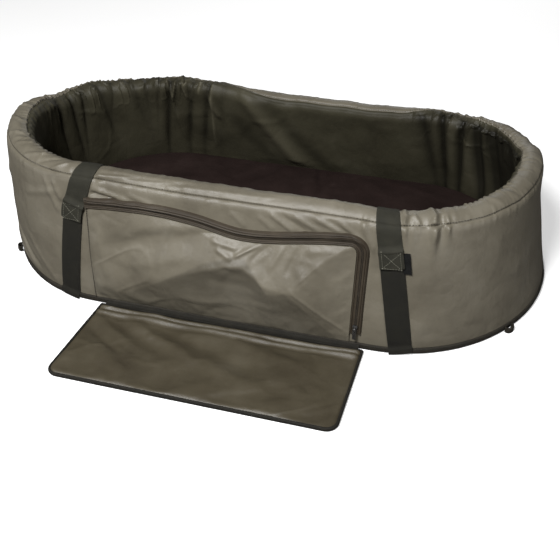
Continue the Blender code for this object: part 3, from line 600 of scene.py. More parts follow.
# Dark pleats of the lining: (ring place, half width, depth, length down the wall, lean)
LINING_PLEATS = (
    (back_place(0.255), 0.0150, 0.0150, 0.40, -0.24),
    (back_place(0.286), 0.0040, 0.0050, 0.06, 0.10),
    (back_place(0.308), 0.0090, 0.0200, 0.40, -0.12),
    (back_place(0.330), 0.0040, 0.0050, 0.06, 0.12),
    (right_end_place(END_LENGTH - 0.012), 0.0095, 0.0220, 0.40, -0.05),
    (right_end_place(END_LENGTH - 0.034), 0.0040, 0.0060, 0.06, 0.2),
    (right_end_place(END_LENGTH - 0.056), 0.0150, 0.0300, 0.40, -0.22),
    (right_end_place(END_LENGTH - 0.092), 0.0060, 0.0080, 0.06, -0.2),
    (right_end_place(END_LENGTH - 0.120), 0.0210, 0.0300, 0.40, -0.26),
    (right_end_place(END_LENGTH - 0.158), 0.0070, 0.0090, 0.07, -0.2),
    (right_end_place(END_LENGTH - 0.192), 0.0260, 0.0300, 0.40, -0.22),
    (right_end_place(END_LENGTH - 0.262), 0.0300, 0.0280, 0.40, 0.1),
    (right_end_place(END_LENGTH - 0.340), 0.0300, 0.0260, 0.40, -0.1),
    (back_place(-0.178), 0.0120, 0.0050, 0.30, 0.16),
    (back_place(-0.214), 0.0060, 0.0120, 0.40, 0.19),
    (back_place(-0.233), 0.0034, 0.0050, 0.06, -0.05),
    (back_place(-0.252), 0.0070, 0.0130, 0.40, 0.21),
    (back_place(-0.276), 0.0036, 0.0060, 0.07, 0.30),
    (back_place(-0.296), 0.0048, 0.0090, 0.12, 0.20),
    (back_place(-0.314), 0.0076, 0.0150, 0.40, 0.21),
    (back_place(-0.340), 0.0050, 0.0070, 0.10, 0.24),
    (left_end_place(END_LENGTH - 0.030), 0.0110, 0.0070, 0.12, 0.1),
    (left_end_place(END_LENGTH - 0.082), 0.0130, 0.0090, 0.16, -0.2),
    (left_end_place(END_LENGTH - 0.128), 0.0100, 0.0070, 0.10, 0.3),
    (left_end_place(END_LENGTH - 0.190), 0.0140, 0.0110, 0.14, -0.2),
    (left_end_place(END_LENGTH - 0.242), 0.0100, 0.0120, 0.12, 0.1),
    (left_end_place(END_LENGTH - 0.290), 0.0120, 0.0130, 0.14, -0.1),
    (left_end_place(END_LENGTH - 0.345), 0.0110, 0.0110, 0.14, -0.1),
)
DEEPEST_PLEAT = 0.022
# Where the lining is gathered into its seam: (ring place, half width)
GATHERED = (
    (back_place(-0.285), 0.080),
    (back_place(0.325), 0.070),
    (right_end_place(END_LENGTH - 0.13), 0.120),
    (right_end_place(END_LENGTH - 0.33), 0.100),
    (left_end_place(END_LENGTH - 0.20), 0.180),
)
# Gathers and sweeps of the back lining: ends as (x, distance below the rim band), in mm
LINING_LINES = in_metres(
    (-330, 0, -318, 85, 3.4, 5), (-296, 0, -320, 75, 3.4, 5.2), (-292, 4, -276, 70, 3.2, 5.4),
    (-250, 4, -268, 75, 3.2, 5), (-268, 2, -284, 45, 2.8, 3.6), (-236, 0, -244, 50, 3.4, 3.4),
    (-210, 10, -222, 180, 3.4, 3.4), (-322, 90, -300, 190, 6, 3), (-222, 50, -200, 110, 7, 5.6),
    (-196, 40, -178, 150, 14, 3), (-140, 4, 16, 224, 22, 12), (-60, 10, 90, 205, 24, 3),
    (120, 30, 250, 150, 26, -3),
)
# Painted shade over hollows of the back lining, in metres, with the depth of painted shade in place
# of a height
LINING_SHADES = (
    ((-0.165, 0.080), (-0.045, 0.225), 0.0260, 0.5500),
    ((-0.040, 0.070), (0.075, 0.215), 0.0180, 0.3500),
    ((-0.300, 0.130), (-0.060, 0.230), 0.0260, 0.3000),
    ((0.100, 0.215), (0.280, 0.170), 0.0300, 0.2500),
)


def pleats(place, away, wanted):
    """Soft columns of cloth that meet in narrow valleys."""
    total = np.zeros(np.broadcast(place, away).shape)
    for centre, half_width, depth, length, lean in wanted:
        t = np.sqrt((ring_offset(place, centre + lean * away) / half_width) ** 2 + 0.03)
        cut = np.where(t < 8, np.exp(-(t**1.15)), 0.0)
        total = total - depth * cut * bell(away, length)
    return total


def folds(place, away, wanted):
    """Height of the puckers and folds at ring places, this far from the seam that makes them."""
    total = np.zeros(np.broadcast(place, away).shape)
    for centre, half_width, height, length in wanted:
        t = ring_offset(place, centre) / half_width
        near = np.abs(t) < 5
        crest = np.where(near, (1.0 - 0.8 * t * t) * np.exp(-t * t / 2), 0.0)
        total = total + height * crest * bell(away, length)
    return total


# Folds of the outer cover: ends as (ring place, z), in mm
COVER_FOLDS = in_metres(
    (-262, 244, -170, 226, 4.4, 3.4), (-262, 233, -200, 227, 4, -3.2),
    (-264, 224, -215, 226, 4, 3.4), (-258, 252, -225, 240, 4, 2.6),
    (-180, 240, -130, 226, 4.6, 2.2), (-330, 242, -312, 205, 5, 3),
    (-352, 244, -322, 180, 6, 2.4), (-318, 225, -420, 190, 7, 2), (80, 244, 124, 216, 4, 3),
    (100, 244, 146, 220, 3.6, -2.2), (122, 246, 170, 224, 4.2, 3), (160, 246, 206, 228, 4, 2.8),
    (180, 246, 226, 226, 3.6, -1.8), (204, 244, 246, 214, 4.4, 3), (240, 250, 262, 200, 4.6, 2.6),
    (60, 236, 90, 214, 5, 2), (10, 236, 40, 212, 5, 1.8), (-420, 20, -520, 90, 6.5, 2.6),
    (-400, 30, -560, 110, 6, -2), (-450, 20, -600, 60, 6, 2.2), (-350, 20, -440, 100, 8, 1.6),
    (-500, 210, -580, 150, 9, 2), (300, 20, 420, 110, 16, 1.2), (470, 200, 560, 110, 20, 1.4),
)
# Creases of the rim band: ends as (ring place, distance from its outer seam), in mm
RIM_LINES = in_metres(
    (-340, 0, -305, 22, 3.4, 2.6), (-380, 4, -330, 28, 3.6, -2.2), (-430, 2, -370, 30, 4, 2.8),
    (-480, 10, -440, 34, 3.6, 2.2), (-540, 4, -500, 36, 4, 2.4), (-620, 6, -570, 32, 4, 2.6),
    (-700, 4, -650, 30, 4, 2.4), (-262, 4, -180, 12, 3, 2.2), (-240, 18, -60, 22, 4, 1.2),
    (-100, 10, 90, 16, 4, 1.2), (40, 22, 220, 26, 4, 1.2), (302, 2, 316, 20, 3.2, 3.4),
    (334, 0, 324, 22, 3.2, 3), (350, 4, 372, 24, 3.6, 2.6),
)


def line_folds(x, z, wanted):
    total = 0 * x
    for (ax, az), (bx, bz), half_width, height in wanted:
        span = math.hypot(bx - ax, bz - az)
        share = ((x - ax) * (bx - ax) + (z - az) * (bz - az)) / span**2
        off = ((x - ax) * (bz - az) - (z - az) * (bx - ax)) / span
        taper = smooth_step((share + 0.12) / 0.30) * smooth_step((1.12 - share) / 0.30)
        total = total + height * taper * bell(off, half_width)
    return total


def strap_line(side, along):
    """Middle of a strap at a distance up the wall's outer face and over its rim."""
    top_x = RIGHT_STRAP_TOP_X if side > 0 else -LEFT_STRAP_TOP_X
    slope = (STRAP_BOX_X - STRAP_FOOT_X) / (STRAP_BOX_Z - BINDING_TOP)
    low = STRAP_FOOT_X + slope * (along - BINDING_TOP)
    top = FRONT_HEIGHT - RIM_RADIUS + math.pi / 2 * RIM_RADIUS
    share = np.clip((along - STRAP_BOX_Z) / (top - STRAP_BOX_Z), 0, 1)
    high = STRAP_BOX_X + (top_x - STRAP_BOX_X) * share
    return side * np.where(along < STRAP_BOX_Z, low, high)


def beyond_straps(place, along):
    """0 under a strap and 1 away from it."""
    free = np.ones(np.broadcast(place, along).shape)
    for side in (-1, 1):
        off = np.abs(ring_offset(place, strap_line(side, along)))
        free = np.minimum(free, smooth_step((off - STRAP_WIDTH / 2 - 0.001) / 0.010))
    return free


# The groove that a seam sinks into the cloth
SEAM_DIP = 0.0012
SEAM_DIP_WIDTH = 0.0022


def cover_lift(place, distance, height, base):
    """How far the outer cover stands off the wall's plain face."""
    top = outer_seam(height)
    share = np.clip((distance - BINDING_TOP) / (top - BINDING_TOP), 0.0, 1.0)
    ends = np.clip(1.0 - np.abs(ring_offset(place, RING_LENGTH / 4)), 0, 1)
    swell = np.abs(np.sin(math.pi * share**0.85)) ** 0.75
    away = top - distance
    free = beyond_straps(place, distance)
    broad = layered_field(base, (0.16, 0.16, 0.11), 3, 2)
    drape = soft_field(base, (0.09, 0.09, 0.30), 5)
    crinkle = crease_field(base, (0.07, 0.07, 0.09), 7) - 0.25
    slack = bell(ring_offset(place, right_end_place(0.36)), 0.20)
    lift = (0.0042 + 0.0016 * ends - 0.0130 * slack) * swell
    lift = lift + swell * (0.0026 * broad + free * (0.0008 * drape + 0.0005 * crinkle))
    lines = line_folds(ring_offset(place, 0.0), distance, COVER_FOLDS)
    lift = lift + free * lines * smooth_step((distance - 0.012) / 0.006)
    lift = lift + free * folds(place, away, SEAM_PUCKERS) * smooth_step(away / 0.004)
    return lift - SEAM_DIP * bell(away, SEAM_DIP_WIDTH)


def rim_lift(place, along, full, base):
    """How far the rim band stands off its plain round, at a distance along its section."""
    share = np.clip(along / full, 0.0, 1.0)
    left = full - along
    free = beyond_straps(place, along + outer_seam(FRONT_HEIGHT))
    swell = np.abs(np.sin(math.pi * share)) ** 0.5
    long_lines = crease_field(base, (0.19, 0.19, 0.016), 41, 0.20) - 0.3
    soft = layered_field(base, (0.05, 0.05, 0.03), 43, 2)
    crumpled = crease_field(base, (0.045, 0.045, 0.05), 45, 0.14) - 0.2
    at_ends = smooth_step((np.abs(base[..., 0]) - 0.27) / 0.06)
    lift = 0.0024 * swell * (0.35 + 0.65 * free)
    lift = lift + swell * free * (0.0011 * (1 - at_ends) * long_lines + 0.0010 * soft)
    lift = lift + swell * free * (0.0008 + 0.0014 * at_ends) * crumpled
    lift = lift + free * folds(place, left, RIM_RIBS)
    lines = line_folds(ring_offset(place, 0.0), along, RIM_LINES)
    lift = lift + free * lines * smooth_step(along / 0.003) * smooth_step(left / 0.003)
    lift = lift + 0.8 * free * folds(place, along, SEAM_PUCKERS) * smooth_step(along / 0.004)
    inner = folds(place, left, LINING_FOLDS) * bell(left, 0.018)
    lift = lift + 0.55 * inner * smooth_step((left + 0.003) / 0.006)
    return lift - SEAM_DIP * bell(np.minimum(along, left), SEAM_DIP_WIDTH)


def lining_gathers(place, away):
    """Where the lining is gathered, 0 to 1, and its tight and fine creases there."""
    gathered = sum(bell(ring_offset(place, at), wide, 4) for at, wide in GATHERED)
    points = points_of(place, 0.0, away)
    tight = crease_field(points, (0.020, 1.0, 0.050), 57, 0.10)
    return gathered, tight, crease_field(points, (0.014, 1.0, 0.034), 58, 0.12)


def lining_lift(place, away, deep, base):
    """How far the lining stands into the tub from the wall's plain inner face."""
    share = np.clip(away / deep, 0.0, 1.0)
    swell = np.abs(np.sin(math.pi * share**0.8)) ** 0.6
    broad = layered_field(base, (0.15, 0.15, 0.10), 51, 2)
    drape = soft_field(base, (0.045, 0.045, 0.30), 54)
    crinkle = crease_field(base, (0.09, 0.09, 0.12), 53, 0.12) - 0.2
    small = soft_field(base, (0.030, 0.030, 0.080), 55)
    lift = 0.0050 * swell
    lift = lift + swell * (0.0026 * broad + 0.0014 * drape + 0.0016 * crinkle + 0.0007 * small)
    deep_cut = pleats(place, away, LINING_PLEATS) * smooth_step((away + 0.002) / 0.012)
    deep_cut = DEEPEST_PLEAT * (np.exp(deep_cut / DEEPEST_PLEAT) - 1.0)
    deep_cut = deep_cut * (0.25 + 0.75 * smooth_step((deep - away) / 0.060))
    lift = lift + deep_cut * (0.45 + 0.55 * swell)
    gathered, tight, fine = lining_gathers(place, away)
    drawn = gathered * smooth_step((away + 0.002) / 0.010)
    lift = lift + drawn * 0.0058 * (tight - 0.35) * bell(away, 0.060)
    lift = lift + drawn * 0.0020 * (fine - 0.35) * bell(away, 0.030)
    lift = lift + folds(place, away, LINING_FOLDS) * smooth_step((away + 0.004) / 0.012)
    x = -ring_offset(place, back_place(0.0))
    lift = lift + line_folds(x, away, LINING_LINES) * smooth_step((deep - away) / 0.030)
    felled = smooth_step((0.0105 - away) / 0.0012)
    lift = lift + 0.0006 * felled - 0.0010 * bell(away, 0.0016)
    return lift - 0.0006 * bell(away - 0.0110, 0.0010)


COVER_ROWS = 92
RIM_ROWS = 46
LINING_ROWS = 96


def outer_cover_grid(run):
    rows = COVER_ROWS
    top = outer_seam(run.height)
    low = BINDING_TOP - 0.003
    turn = round(rows * (COVER_TURN_Z - low) / (outer_seam(FRONT_HEIGHT) - low))
    lower = low + (COVER_TURN_Z - low) * np.linspace(0.0, 1.0, turn)[None, :] + 0 * top[:, None]
    share = np.linspace(0.0, 1.0, rows - turn + 1)[None, 1:]
    upper = COVER_TURN_Z + (top - COVER_TURN_Z)[:, None] * share
    distance = np.concatenate([lower, upper], axis=1)
    base, normals = run.surface(distance)
    lift = cover_lift(run.place[:, None], distance, run.height[:, None], base)
    return base + normals * lift[..., None], turn


def rim_grid(run):
    full = rim_full(run.place)[:, None]
    along = full * np.linspace(0.0, 1.0, RIM_ROWS)[None, :]
    base, normals = run.surface(outer_seam(run.height)[:, None] + along)
    lift = rim_lift(run.place[:, None], along, full, base)
    return base + normals * lift[..., None]


def lining_grid(run):
    """The lining's face, with painted shade in its hollows and painted highlights on its crests."""
    start = outer_seam(run.height) + rim_full(run.place)
    last = 2 * (run.height - RIM_RADIUS) + math.pi * RIM_RADIUS - FLOOR_LOW - 0.001
    deep = (last - start)[:, None]
    away = deep * np.linspace(0.0, 1.0, LINING_ROWS)[None, :]
    base, normals = run.surface(start[:, None] + away)
    lift = lining_lift(run.place[:, None], away, deep, base)
    place = run.place[:, None]
    x = -ring_offset(place, back_place(0.0))
    # painted shade in the pleats' valleys and over the listed hollows of the back lining
    valley = -pleats(place, away, LINING_PLEATS) / 0.014 * smooth_step(away / 0.02)
    shaded = line_folds(x, away, LINING_SHADES)
    # painted highlights on the right end's columns, along the lining's lines and on its gathers
    columns = bell(ring_offset(place, right_end_place(END_LENGTH - 0.05)), 0.12, 4)
    crest = 0.42 * columns * np.clip(1.0 - 2.4 * valley, 0.0, 1.0)
    crest = crest * smooth_step((away - 0.015) / 0.03) * bell(away, 0.16, 4)
    narrow = [line[:3] + (1.0,) for line in LINING_LINES if line[2] < 0.004]
    broad = [line[:3] + (0.4,) for line in LINING_LINES if line[2] > 0.006 and line[3] > 0.005]
    crest = crest + 0.8 * line_folds(x, away, narrow) + line_folds(x, away, broad)
    gathered, tight, _ = lining_gathers(place, away)
    crest = crest + 0.5 * gathered * np.clip((tight - 0.55) * 2.5, 0.0, 1.0) * bell(away, 0.05)
    hollow = np.clip(valley + shaded, 0.0, 1.0)
    return base + normals * lift[..., None], hollow, np.clip(crest, 0.0, 1.0)


def on_front(flat, stand=0.0):
    """Dressed points at (x, distance up the front and over its rim), this far out."""
    x, distance = flat[..., 0], flat[..., 1]
    place = front_place(x)
    height = FRONT_HEIGHT + height_wave(place)
    along = distance - outer_seam(height)
    foot, outward = long_foot(x, -1)
    base, normals = wall_surface(foot, outward, (0.0, FRONT_RIM_INSET), height, distance)
    cover = cover_lift(place, distance, height, base)
    rim = rim_lift(place, np.maximum(along, 0.0), rim_full(place), base)
    lift = np.where(along < 0, cover, rim) + stand
    return base + normals * lift[..., None]


def front_piece(name, flat, face, back, finish, facing=(0, -1, 0)):
    """A piece over the front, between two distances out from its dressed surface."""
    return paired_piece(name, on_front(flat, face), on_front(flat, back), finish, facing)


# Stitches and other repeats along a path


def feed(tree, socket, value):
    """Sets a node's input, or links it where the value is another node's output."""
    if isinstance(value, bpy.types.NodeSocket):
        tree.links.new(value, socket)
    elif socket.type == "RGBA":
        socket.default_value = (*value, 1.0)
    else:
        socket.default_value = value


def add_node(tree, kind, inputs=None, **settings):
    """A new node with its settings made and its inputs fed, by their name or number."""
    node = tree.nodes.new(kind)
    for name, value in settings.items():
        setattr(node, name, value)
    for name, value in (inputs or {}).items():
        feed(tree, node.inputs[name], value)
    return node


def repeat_tree(name, finish):
    """Lays a bead, stretched along the path, at even spacing: stitches, coils and ribs."""
    tree = bpy.data.node_groups.new(name, "GeometryNodeTree")
    new_socket = tree.interface.new_socket
    new_socket("Path", in_out="INPUT", socket_type="NodeSocketGeometry")
    for label in ("Spacing", "Length", "Width", "Thickness"):
        new_socket(label, in_out="INPUT", socket_type="NodeSocketFloat")
    new_socket("Geometry", in_out="OUTPUT", socket_type="NodeSocketGeometry")
    entry = add_node(tree, "NodeGroupInput").outputs
    curve = add_node(tree, "GeometryNodeMeshToCurve", {"Mesh": entry["Path"]})
    along = {"Curve": curve.outputs["Curve"], "Length": entry["Spacing"]}
    spaced = add_node(tree, "GeometryNodeCurveToPoints", along, mode="LENGTH")
    bead = add_node(tree, "GeometryNodeMeshUVSphere", {"Segments": 8, "Rings": 5, "Radius": 0.5})
    sizes = {"X": entry["Width"], "Y": entry["Thickness"], "Z": entry["Length"]}
    laid = add_node(tree, "GeometryNodeInstanceOnPoints", {
        "Points": spaced.outputs["Points"],
        "Rotation": spaced.outputs["Rotation"],
        "Instance": bead.outputs["Mesh"],
        "Scale": add_node(tree, "ShaderNodeCombineXYZ", sizes).outputs["Vector"],
    })
    real = add_node(tree, "GeometryNodeRealizeInstances", {"Geometry": laid.outputs["Instances"]})
    plain = {"Geometry": real.outputs["Geometry"], "Material": finish}
    painted = add_node(tree, "GeometryNodeSetMaterial", plain)
    add_node(tree, "NodeGroupOutput", {"Geometry": painted.outputs["Geometry"]})
    return tree


def repeats(name, paths, finish, sizes, closed=False):
    """A plain mesh of beads along paths; sizes are their spacing, length and width."""
    edges = []
    start = 0
    for path in paths:
        last = start + len(path) - 1
        edges += [(i, i + 1) for i in range(start, last)]
        if closed:
            edges.append((last, start))
        start = last + 1
    mesh = bpy.data.meshes.new(name + "_path")
    mesh.from_pydata(np.concatenate(paths).tolist(), edges, [])
    path_piece = linked(name + "_path", mesh)
    tree = repeat_tree(name + "_repeat", finish)
    modifier = path_piece.modifiers.new("repeat", "NODES")
    modifier.node_group = tree
    spacing, length, width = sizes
    chosen = {"Spacing": spacing, "Length": length, "Width": width, "Thickness": width * 0.8}
    for item in tree.interface.items_tree:
        if item.name in chosen:
            modifier[item.identifier] = chosen[item.name]
    graph = bpy.context.evaluated_depsgraph_get()
    made = bpy.data.meshes.new_from_object(path_piece.evaluated_get(graph))
    made.name = name
    bpy.data.objects.remove(path_piece)
    made.shade_smooth()
    return linked(name, made)


# Beads along a path: spacing, length and width
RIM_STITCH = (0.0052, 0.0036, 0.0011)
BASE_STITCH = (0.0050, 0.0034, 0.0009)
ZIP_STITCH = (0.0040, 0.0028, 0.0008)
ZIP_COIL = (0.0017, 0.0011, 0.0026)
POCKET_STITCH = (0.0045, 0.0040, 0.0015)
BOX_STITCH = (0.0040, 0.0030, 0.0009)
KNEEL_STITCH = (0.0045, 0.0031, 0.0009)


# Materials


class Finish:
    """Builds one procedural material step by step."""

    def __init__(self, name):
        self.material = bpy.data.materials.new(name)
        self.material.use_nodes = True
        self.tree = self.material.node_tree
        self.object_place = self.node("ShaderNodeTexCoord").outputs["Object"]
        self.cloth_place = self.node("ShaderNodeUVMap", uv_map="cloth").outputs["UV"]
        self.relief = None

    def node(self, kind, inputs=None, **settings):
        return add_node(self.tree, kind, inputs, **settings)

    def noise(self, scale, detail=3.0, roughness=0.5, stretch=(1, 1, 1)):
        mapping = self.node("ShaderNodeMapping", {"Vector": self.object_place, "Scale": stretch})
        inputs = {"Vector": mapping.outputs["Vector"], "Scale": scale, "Detail": detail}
        return self.node("ShaderNodeTexNoise", inputs | {"Roughness": roughness}).outputs["Fac"]

    def creases(self, scale, stretch):
        """Sharp valleys that wander through the cloth, 0 in the valley."""
        off = self.maths("SUBTRACT", self.noise(scale, 2.0, 0.5, stretch), 0.5)
        steep = self.maths("MULTIPLY", self.maths("ABSOLUTE", off, 0.0), 9.0)
        return self.maths("MINIMUM", steep, 1.0)

    def threads(self, period, direction):
        inputs = {"Vector": self.cloth_place, "Scale": math.pi / 10 / period, "Distortion": 0.0}
        shape = {"bands_direction": direction, "wave_profile": "SIN"}
        return self.node("ShaderNodeTexWave", inputs, **shape).outputs["Fac"]

    def painted_light_share(self, name, amount):
        """A share of painted shade or painted highlight, from its mesh's marks."""
        marks = self.node("ShaderNodeAttribute", attribute_name=name)
        return self.maths("MULTIPLY", marks.outputs["Fac"], amount)

    def ramp(self, source, *stops):
        ramp = self.node("ShaderNodeValToRGB", {"Fac": source})
        elements = ramp.color_ramp.elements
        while len(elements) < len(stops):
            elements.new(0.5)
        for element, (place, colour) in zip(elements, stops):
            element.position = place
            element.color = (*colour, 1.0)
        return ramp.outputs["Color"]

    def mix(self, share, a, b):
        return self.node("ShaderNodeMix", {0: share, 6: a, 7: b}, data_type="RGBA").outputs[2]

    def maths(self, kind, a, b):
        return self.node("ShaderNodeMath", {0: a, 1: b}, operation=kind).outputs["Value"]

    def spread(self, source, low, high):
        """A share from 0 to 1 turned into a range of values."""
        inputs = {"Value": source, "To Min": low, "To Max": high}
        return self.node("ShaderNodeMapRange", inputs).outputs["Result"]

    def bump(self, source, distance, strength):
        inputs = {"Height": source, "Strength": strength, "Distance": distance}
        if self.relief is not None:
            inputs["Normal"] = self.relief
        self.relief = self.node("ShaderNodeBump", inputs).outputs["Normal"]

    def done(self, colour, roughness, specular=0.5, coat=0.0, metallic=0.0):
        inputs = {
            "Base Color": colour, "Roughness": roughness, "Specular IOR Level": specular,
            "Coat Weight": coat, "Coat Roughness": 0.45, "Metallic": metallic,
            "Normal": self.relief,
        }
        shader = self.tree.nodes["Principled BSDF"]
        for name, value in inputs.items():
            feed(self.tree, shader.inputs[name], value)
        return self.material


def toned(colour, share):
    return tuple(value * share for value in colour)


def coated_cloth(name, dark, mid, light, thread, roughness, creasing=1.0, specular=0.5):
    """Closely woven nylon with a coating: blotches, crumples and fine threads, with painted
    highlights on fold crests and painted shade in fold hollows, where the mesh holds them.
    """
    cloth = Finish(name)
    colour = cloth.ramp(cloth.noise(9.0, 4.0, 0.6), (0.30, dark), (0.52, mid), (0.74, light))
    colour = cloth.mix(cloth.spread(cloth.noise(70.0, 3.0, 0.7), 0.0, 0.22), colour, light)
    weave = cloth.maths("MAXIMUM", cloth.threads(thread, "X"), cloth.threads(thread, "Y"))
    colour = cloth.mix(cloth.spread(weave, 0.18, 0.0), colour, dark)
    # painted highlight: crests held on the mesh are lightened
    colour = cloth.mix(cloth.painted_light_share("painted_highlight", 0.80), colour, toned(light, 1.7))
    # painted shade: hollows held on the mesh are darkened
    colour = cloth.mix(cloth.painted_light_share("painted_shade", 0.85), colour, toned(dark, 0.14))
    cloth.bump(cloth.creases(8.0, (1.0, 1.0, 1.4)), 0.0010 * creasing, 0.6)
    cloth.bump(cloth.creases(19.0, (1.3, 1.3, 0.8)), 0.0005 * creasing, 0.5)
    cloth.bump(cloth.noise(42.0, 4.0, 0.55, (1, 1, 0.6)), 0.0016, 0.4)
    cloth.bump(cloth.noise(190.0, 2.0, 0.5), 0.0006, 0.4)
    cloth.bump(weave, thread / 5, 0.5)
    rough = cloth.spread(cloth.noise(24.0, 3.0, 0.6), roughness - 0.07, roughness + 0.10)
    return cloth.done(colour, rough, specular)


def woven_tape(name, dark, light, ribs, roughness):
    """Webbing or binding: ribs along the tape, crossed by a fine weft."""
    tape = Finish(name)
    weave = tape.maths("MULTIPLY", tape.threads(ribs, "Y"), tape.threads(ribs * 0.55, "X"))
    tint = tape.noise(60.0, 3.0, 0.6)
    colour = tape.ramp(tint, (0.3, dark), (0.75, light))
    colour = tape.mix(tape.spread(weave, 0.45, 0.0), colour, toned(dark, 0.45))
    tape.bump(weave, ribs / 3, 0.8)
    tape.bump(tape.noise(900.0, 2.0, 0.5), ribs / 8, 0.4)
    return tape.done(colour, tape.spread(tint, roughness - 0.06, roughness + 0.08), 0.35)


def grained(name, grain, tones, relief, roughness, **rest):
    """A finish with one grain in its colour and its relief."""
    finish = Finish(name)
    source = finish.noise(*grain)
    colour = finish.ramp(source, *tones)
    finish.bump(source, *relief)
    if isinstance(roughness, tuple):
        roughness = finish.spread(source, *roughness)
    return finish.done(colour, roughness, **rest)


def thread_finish(name, colour):
    tones = ((0.3, toned(colour, 0.6)), (0.7, colour))
    return grained(name, (1500.0, 2.0, 0.5), tones, (0.0002, 0.6), 0.65, specular=0.25)


OUTER = coated_cloth(
    "coated_outer_cloth", (0.106, 0.093, 0.068), (0.150, 0.134, 0.100), (0.186, 0.169, 0.132),
    0.00055, 0.42,
)
LINING = coated_cloth(
    "coated_lining_cloth", (0.028, 0.025, 0.015), (0.046, 0.042, 0.026), (0.066, 0.060, 0.040),
    0.00055, 0.52, 1.0, 0.26,
)
KNEEL = coated_cloth(
    "kneeling_mat_cloth", (0.040, 0.032, 0.019), (0.060, 0.050, 0.031), (0.086, 0.074, 0.050),
    0.00055, 0.42, 0.5,
)
FLOOR = coated_cloth(
    "floor_cloth", (0.0105, 0.0050, 0.0040), (0.0170, 0.0092, 0.0078), (0.0270, 0.0160, 0.0138),
    0.00120, 0.70, 0.8, 0.22,
)
UNDER = coated_cloth(
    "groundsheet_cloth", (0.022, 0.022, 0.020), (0.030, 0.030, 0.028), (0.040, 0.040, 0.037),
    0.00080, 0.5,
)
WEBBING_UPPER = woven_tape(
    "webbing_upper", (0.022, 0.021, 0.013), (0.038, 0.036, 0.024), 0.0013, 0.68,
)
WEBBING_LOWER = woven_tape(
    "webbing_lower", (0.008, 0.007, 0.004), (0.016, 0.0148, 0.0085), 0.0013, 0.74,
)
BINDING = woven_tape(
    "edge_binding", (0.018, 0.015, 0.010), (0.036, 0.031, 0.022), 0.0010, 0.66,
)
KNEEL_EDGE = woven_tape(
    "kneeling_mat_binding", (0.010, 0.009, 0.006), (0.021, 0.018, 0.012), 0.0010, 0.68,
)
TAB = woven_tape(
    "tab_tape", (0.0010, 0.0010, 0.0010), (0.0025, 0.0025, 0.0025), 0.0008, 0.80,
)
THREAD = thread_finish("dark_thread", (0.018, 0.016, 0.013))
PALE_THREAD = thread_finish("pale_thread", (0.24, 0.235, 0.185))
COIL = thread_finish("zip_coil_nylon", (0.022, 0.018, 0.013))
# cloth of the zip's border, also given to the flap as painted shade: the flap is the outer cloth,
# darkened
ZIP_TAPE_AND_FLAP_SHADE = coated_cloth(
    "zip_tape_and_shaded_flap_cloth", (0.027, 0.020, 0.013), (0.044, 0.034, 0.023), (0.068, 0.055, 0.037),
    0.00055, 0.56, 0.4, 0.28,
)


METAL = grained(
    "slider_metal", (600.0, 4.0, 0.7, (1, 1, 6)),
    ((0.35, (0.05, 0.05, 0.05)), (0.7, (0.16, 0.155, 0.15))),
    (0.0002, 0.4), (0.24, 0.48), coat=0.2, metallic=0.9,
)
FOAM = grained(
    "closed_cell_foam", (900.0, 3.0, 0.6), ((0.3, (0.12, 0.12, 0.12)), (0.7, (0.22, 0.22, 0.21))),
    (0.0006, 0.8), 0.85,
)


# Cloth simulation


CLOTH_SETTINGS = {
    "quality": 6, "mass": 0.2, "air_damping": 2.0, "tension_stiffness": 20,
    "compression_stiffness": 20, "shear_stiffness": 8, "bending_stiffness": 0.3,
    "vertex_group_mass": "pinned", "use_pressure": True,
}


def crumple(name, grid, width, growth, frames, cap, push, step=2):
    """Lets a sheet with pinned edges grow a little, so that it buckles; moves are capped."""
    columns, rows = grid.shape[:2]
    picked = [np.unique(np.append(np.arange(0, n, step), n - 1)) for n in (columns, rows)]
    coarse = grid[np.ix_(*picked)]
    held = edge_mask(columns, rows, width)[np.ix_(*picked)].ravel()
    wide, tall = coarse.shape[:2]
    i, j = np.meshgrid(np.arange(wide - 1), np.arange(tall - 1), indexing="ij")
    corner = (i * tall + j).ravel()
    quads = np.stack([corner, corner + tall, corner + tall + 1, corner + 1], axis=1)
    mesh = bpy.data.meshes.new(name + "_loose")
    mesh.from_pydata(coarse.reshape(-1, 3).tolist(), [], quads.tolist())
    loose = linked(name + "_loose", mesh)
    loose.vertex_groups.new(name="pinned").add(np.flatnonzero(held).tolist(), 1.0, "REPLACE")
    cloth = loose.modifiers.new("cloth", "CLOTH")
    own = {"shrink_min": -growth, "uniform_pressure_force": push}
    for setting, value in (CLOTH_SETTINGS | own).items():
        setattr(cloth.settings, setting, value)
    cloth.settings.effector_weights.gravity = 0.0
    cloth.collision_settings.use_collision = False
    cloth.point_cache.frame_start = 1
    cloth.point_cache.frame_end = frames
    scene = bpy.context.scene
    for frame_number in range(1, frames + 1):
        scene.frame_set(frame_number)
    moved = loose.evaluated_get(bpy.context.evaluated_depsgraph_get()).data
    points = np.empty(len(moved.vertices) * 3)
    moved.vertices.foreach_get("co", points)
    move = points.reshape(wide, tall, 3) - coarse
    scene.frame_set(1)
    bpy.data.objects.remove(loose)
    length = np.linalg.norm(move, axis=2, keepdims=True)
    move *= cap * np.tanh(length / cap) / np.maximum(length, 1e-9)
    return grid + spread_out(move, picked, columns, rows)


def spread_out(coarse, picked, columns, rows):
    """Coarse values spread smoothly over the full grid."""
    made = coarse
    for axis, (count, known) in enumerate(zip((columns, rows), picked)):
        wanted = np.arange(count)
        made = np.apply_along_axis(lambda line: np.interp(wanted, known, line), axis, made)
    for _ in range(3):
        made[1:-1] = (made[:-2] + 2 * made[1:-1] + made[2:]) / 4
        made[:, 1:-1] = (made[:, :-2] + 2 * made[:, 1:-1] + made[:, 2:]) / 4
    return made


def edge_mask(columns, rows, width):
    mask = np.zeros((columns, rows), bool)
    mask[:width] = mask[-width:] = True
    mask[:, :width] = mask[:, -width:] = True
    return mask


# Walls


